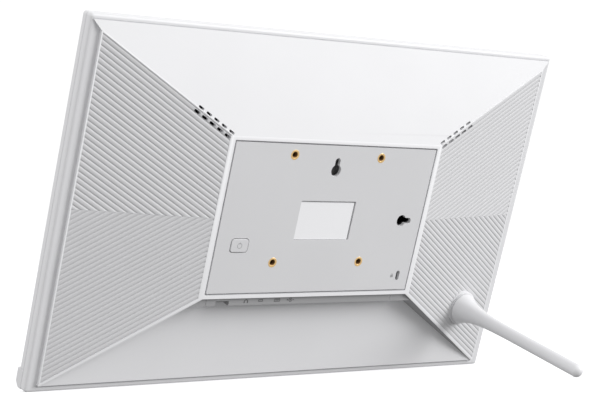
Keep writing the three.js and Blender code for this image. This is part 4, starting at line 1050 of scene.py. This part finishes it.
def build_strip():
    """The strip below the plateau and the floor that the sockets open through."""
    (x0, x1), (y0, y1), (z0, z1) = strip
    bar = fuse(block(x0, x1, y1 - STRIP_PLATE, y1, z0, z1),
               block(x0, x1, y0, y1, z0, z0 + STRIP_PLATE))
    below, above = z0 - 1, z0 + STRIP_PLATE + 1
    cutters = []
    for name, half, thick in PORT_MOUTHS:
        x = middle(span(name)[0])
        if thick is None:
            cutters.append(upright_rod(half, x, PORT_DEPTH, below, above))
        else:
            cutters.append(block(x - half, x + half, PORT_DEPTH - thick, PORT_DEPTH + thick,
                                 below, above))
    card = middle(span("card_slot")[0])
    half, notch_front, tall = CARD_NOTCH
    cutters.append(block(card - half, card + half, notch_front, y1 + 1, below, z0 + tall))
    cut(bar, *cutters)
    tidy(bar)
    soften(bar, 0.18, 2, 35)
    # the whole strip in dark grey: painted shade under the lip above it
    piece(bar, "strip_bar", "frame_body", PAINTED_SHADE_GREY, ("socket_panel",))


build_strip()

# ---------------------------------------------------------------- leg

LEG_RADIUS = 4.65
LEG_BORE = 2.7
LEG_BORE_DEPTH = 12.4
FLARE_LENGTH = 12.0           # the foot's flare shrinks by e over this length
FLARE_REACH = 58
FLARE_START = 0.45
STUD_THREAD_DEPTH = 0.42
STUD_LEAD_IN = 0.45           # how much thinner the stud's first end is
STUD_LEAD_LENGTH = 0.8


def build_leg():
    """The trumpet-footed leg, its washer, and the stud with its thread."""
    (x0, x1), (y0, y1), heights = span("stand_leg")
    x, z = middle((x0, x1)), middle(heights)
    base = (x1 - x0) / 2
    profile = [(LEG_BORE, y0), (base - 0.9, y0), (base - 0.5, y0 + 0.06), (base - 0.15, y0 + 0.25)]
    for i in range(1, 41):
        step = FLARE_START + FLARE_REACH * (i / 40) ** 2
        flare = (base - LEG_RADIUS) * math.exp(-step / FLARE_LENGTH)
        profile.append((LEG_RADIUS + flare, y0 + step))
    tip = y1 - LEG_RADIUS
    for i in range(17):
        angle = math.pi / 2 * i / 16
        profile.append((LEG_RADIUS * math.cos(angle) if i < 16 else 0,
                        tip + LEG_RADIUS * math.sin(angle)))
    leg = lathe(profile, x, z, 96)
    bore = rod(LEG_BORE, y0 - 1, y0 + LEG_BORE_DEPTH, x, z)
    bm = bmesh.new()
    bm.from_mesh(leg.data)
    open_edges = [e for e in bm.edges if e.is_boundary]
    bmesh.ops.holes_fill(bm, edges=open_edges, sides=0)
    bm.to_mesh(leg.data)
    bm.free()
    cut(leg, bore)
    piece(leg, "leg_rod", "leg", LOOK["white_plastic"], ("stand_leg",), 50)

    (x0, x1), (y0, y1), _ = span("leg_washer")
    radius = (x1 - x0) / 2
    washer = lathe([
        (LEG_BORE, y0), (radius - 0.3, y0), (radius - 0.08, y0 + 0.2), (radius, y0 + 0.5),
        (radius - 0.08, y1 - 0.2), (radius - 0.3, y1), (LEG_BORE, y1)], x, z, 96, ring=True)
    piece(washer, "leg_pad", "leg_carrier", LOOK["soft_white"], ("leg_washer",))

    # the stud's thread, one millimetre to a turn
    (x0, x1), (y0, y1), _ = span("leg_stud")
    crest = (x1 - x0) / 2
    sides, per_turn = 40, 10   # points round the stud, and rings to one turn of the thread
    rings = []
    count = int((y1 - y0) * per_turn)
    for k in range(count + 1):
        y = y0 + (y1 - y0) * k / count
        fade = min(1.0, (y - y0) / STUD_LEAD_LENGTH)
        ring = []
        for i in range(sides):
            angle = math.tau * i / sides
            phase = (y - angle / math.tau) % 1.0
            dip = abs(phase - 0.5) * 2
            r = crest - STUD_THREAD_DEPTH * (1 - dip) * fade - STUD_LEAD_IN * (1 - fade)
            ring.append((x + r * math.cos(angle), y, z + r * math.sin(angle)))
        rings.append(ring)
    piece(loft(rings), "stud_thread", "leg", LOOK["steel"], ("leg_stud",), 60)


build_leg()

# fine edges on the simple CAD nodes that show
NODE_EDGE = 0.00008           # metres
for name in ("keyhole_plate_top", "keyhole_plate_side", "lock_plate", "cover_glass", "mat_board",
             "leg_socket", "usb_a_port", "usb_c_port", "card_slot", "power_jack", "audio_jack"):
    edge = nodes[name].modifiers.new("edge", "BEVEL")
    edge.width = NODE_EDGE
    edge.segments = 2
    edge.limit_method = "ANGLE"
    edge.angle_limit = math.radians(40)

# ---------------------------------------------------------------- floor, light and camera

SKY_LOW = 0.31
SKY_HIGH = 0.78
SKY_BLEND = 0.25
GLOW_WAY = (-0.62, -0.784, 0.02)
GLOW_EDGES = (0.75, 0.93)
GLOW_STRENGTH = 1.06
FLOOR_SIZE = 30.0             # metres
FLOOR_GLOW = 0.42
LAMP_DISTANCE = 4.2
LAMP_SIZE = 2.4
LENS = 101.06                 # millimetres, on a 36 mm sensor
CAMERA_SPOT = Vector((719.6, 866.6, 400.0))        # upright axes, millimetres
CAMERA_BACK = Vector((0.62015, 0.78409, -0.02491))
CAMERA_RIGHT = Vector((-0.78437, 0.6203, -0.00263))


def build_stage():
    """The floor, the studio round it, two softboxes and the camera."""
    bm = bmesh.new()
    floor = [bm.verts.new((x * FLOOR_SIZE, y * FLOOR_SIZE, cad_low.z)) for x, y in
             ((-1, -1), (1, -1), (1, 1), (-1, 1))]
    bm.faces.new(floor)
    ground = made(bm, "floor")
    ground.data.materials.append(surface("floor_paint", grey(0.84), 0.9, 700, 0.00005))
    glow = ground.data.materials[0].node_tree.nodes["Principled BSDF"]
    glow.inputs["Emission Color"].default_value = (1, 1, 1, 1)
    glow.inputs["Emission Strength"].default_value = FLOOR_GLOW
    ground.visible_glossy = False
    ground.visible_diffuse = False

    # a studio that is dark below, paler above, and white behind the object
    world = bpy.data.worlds.new("studio")
    bpy.context.scene.world = world
    world.use_nodes = True
    tree = world.node_tree
    background = tree.nodes["Background"]
    place = tree.nodes.new("ShaderNodeTexCoord")

    def toward(way, near, far, low, high):
        """Strength that rises from low to high as a direction comes round to the given way."""
        dot = tree.nodes.new("ShaderNodeVectorMath")
        dot.operation = "DOT_PRODUCT"
        dot.inputs[1].default_value = way
        tree.links.new(place.outputs["Generated"], dot.inputs[0])
        spread = tree.nodes.new("ShaderNodeMapRange")
        spread.interpolation_type = "SMOOTHSTEP"
        spread.inputs["From Min"].default_value = near
        spread.inputs["From Max"].default_value = far
        spread.inputs["To Min"].default_value = low
        spread.inputs["To Max"].default_value = high
        tree.links.new(dot.outputs["Value"], spread.inputs["Value"])
        return spread.outputs["Result"]

    brighter = tree.nodes.new("ShaderNodeMath")
    brighter.operation = "MAXIMUM"
    tree.links.new(toward((0, 0, 1), -SKY_BLEND, SKY_BLEND, SKY_LOW, SKY_HIGH),
                   brighter.inputs[0])
    tree.links.new(toward(GLOW_WAY, *GLOW_EDGES, 0.0, GLOW_STRENGTH), brighter.inputs[1])
    tree.links.new(brighter.outputs["Value"], background.inputs["Strength"])
    background.inputs["Color"].default_value = (1, 1, 1, 1)

    centre = (cad_low + cad_high) / 2

    def softbox(name, way, power):
        """A square lamp that faces the object's middle."""
        data = bpy.data.lights.new(name, "AREA")
        data.shape = "SQUARE"
        data.size = LAMP_SIZE
        data.energy = power
        lamp = bpy.data.objects.new(name, data)
        bpy.context.scene.collection.objects.link(lamp)
        way = Vector(way).normalized()
        lamp.location = centre + way * LAMP_DISTANCE
        lamp.rotation_mode = "QUATERNION"
        lamp.rotation_quaternion = way.to_track_quat("Z", "Y")

    softbox("key", (-0.6, 0.66, 0.30), 137)
    softbox("fill", (0.9, 0.0, 0.3), 48)

    camera_data = bpy.data.cameras.new("camera")
    camera_data.sensor_width = 36.0
    camera_data.lens = LENS
    camera_data.dof.use_dof = False
    camera = bpy.data.objects.new("camera", camera_data)
    bpy.context.scene.collection.objects.link(camera)
    camera.location = PLACE @ CAMERA_SPOT
    up = CAMERA_BACK.cross(CAMERA_RIGHT)
    turn = Matrix((up.cross(CAMERA_BACK), up, CAMERA_BACK)).transposed()
    camera.rotation_mode = "QUATERNION"
    camera.rotation_quaternion = turn.to_quaternion()
    bpy.context.scene.camera = camera
    bpy.context.scene.view_settings.view_transform = "Standard"


build_stage()
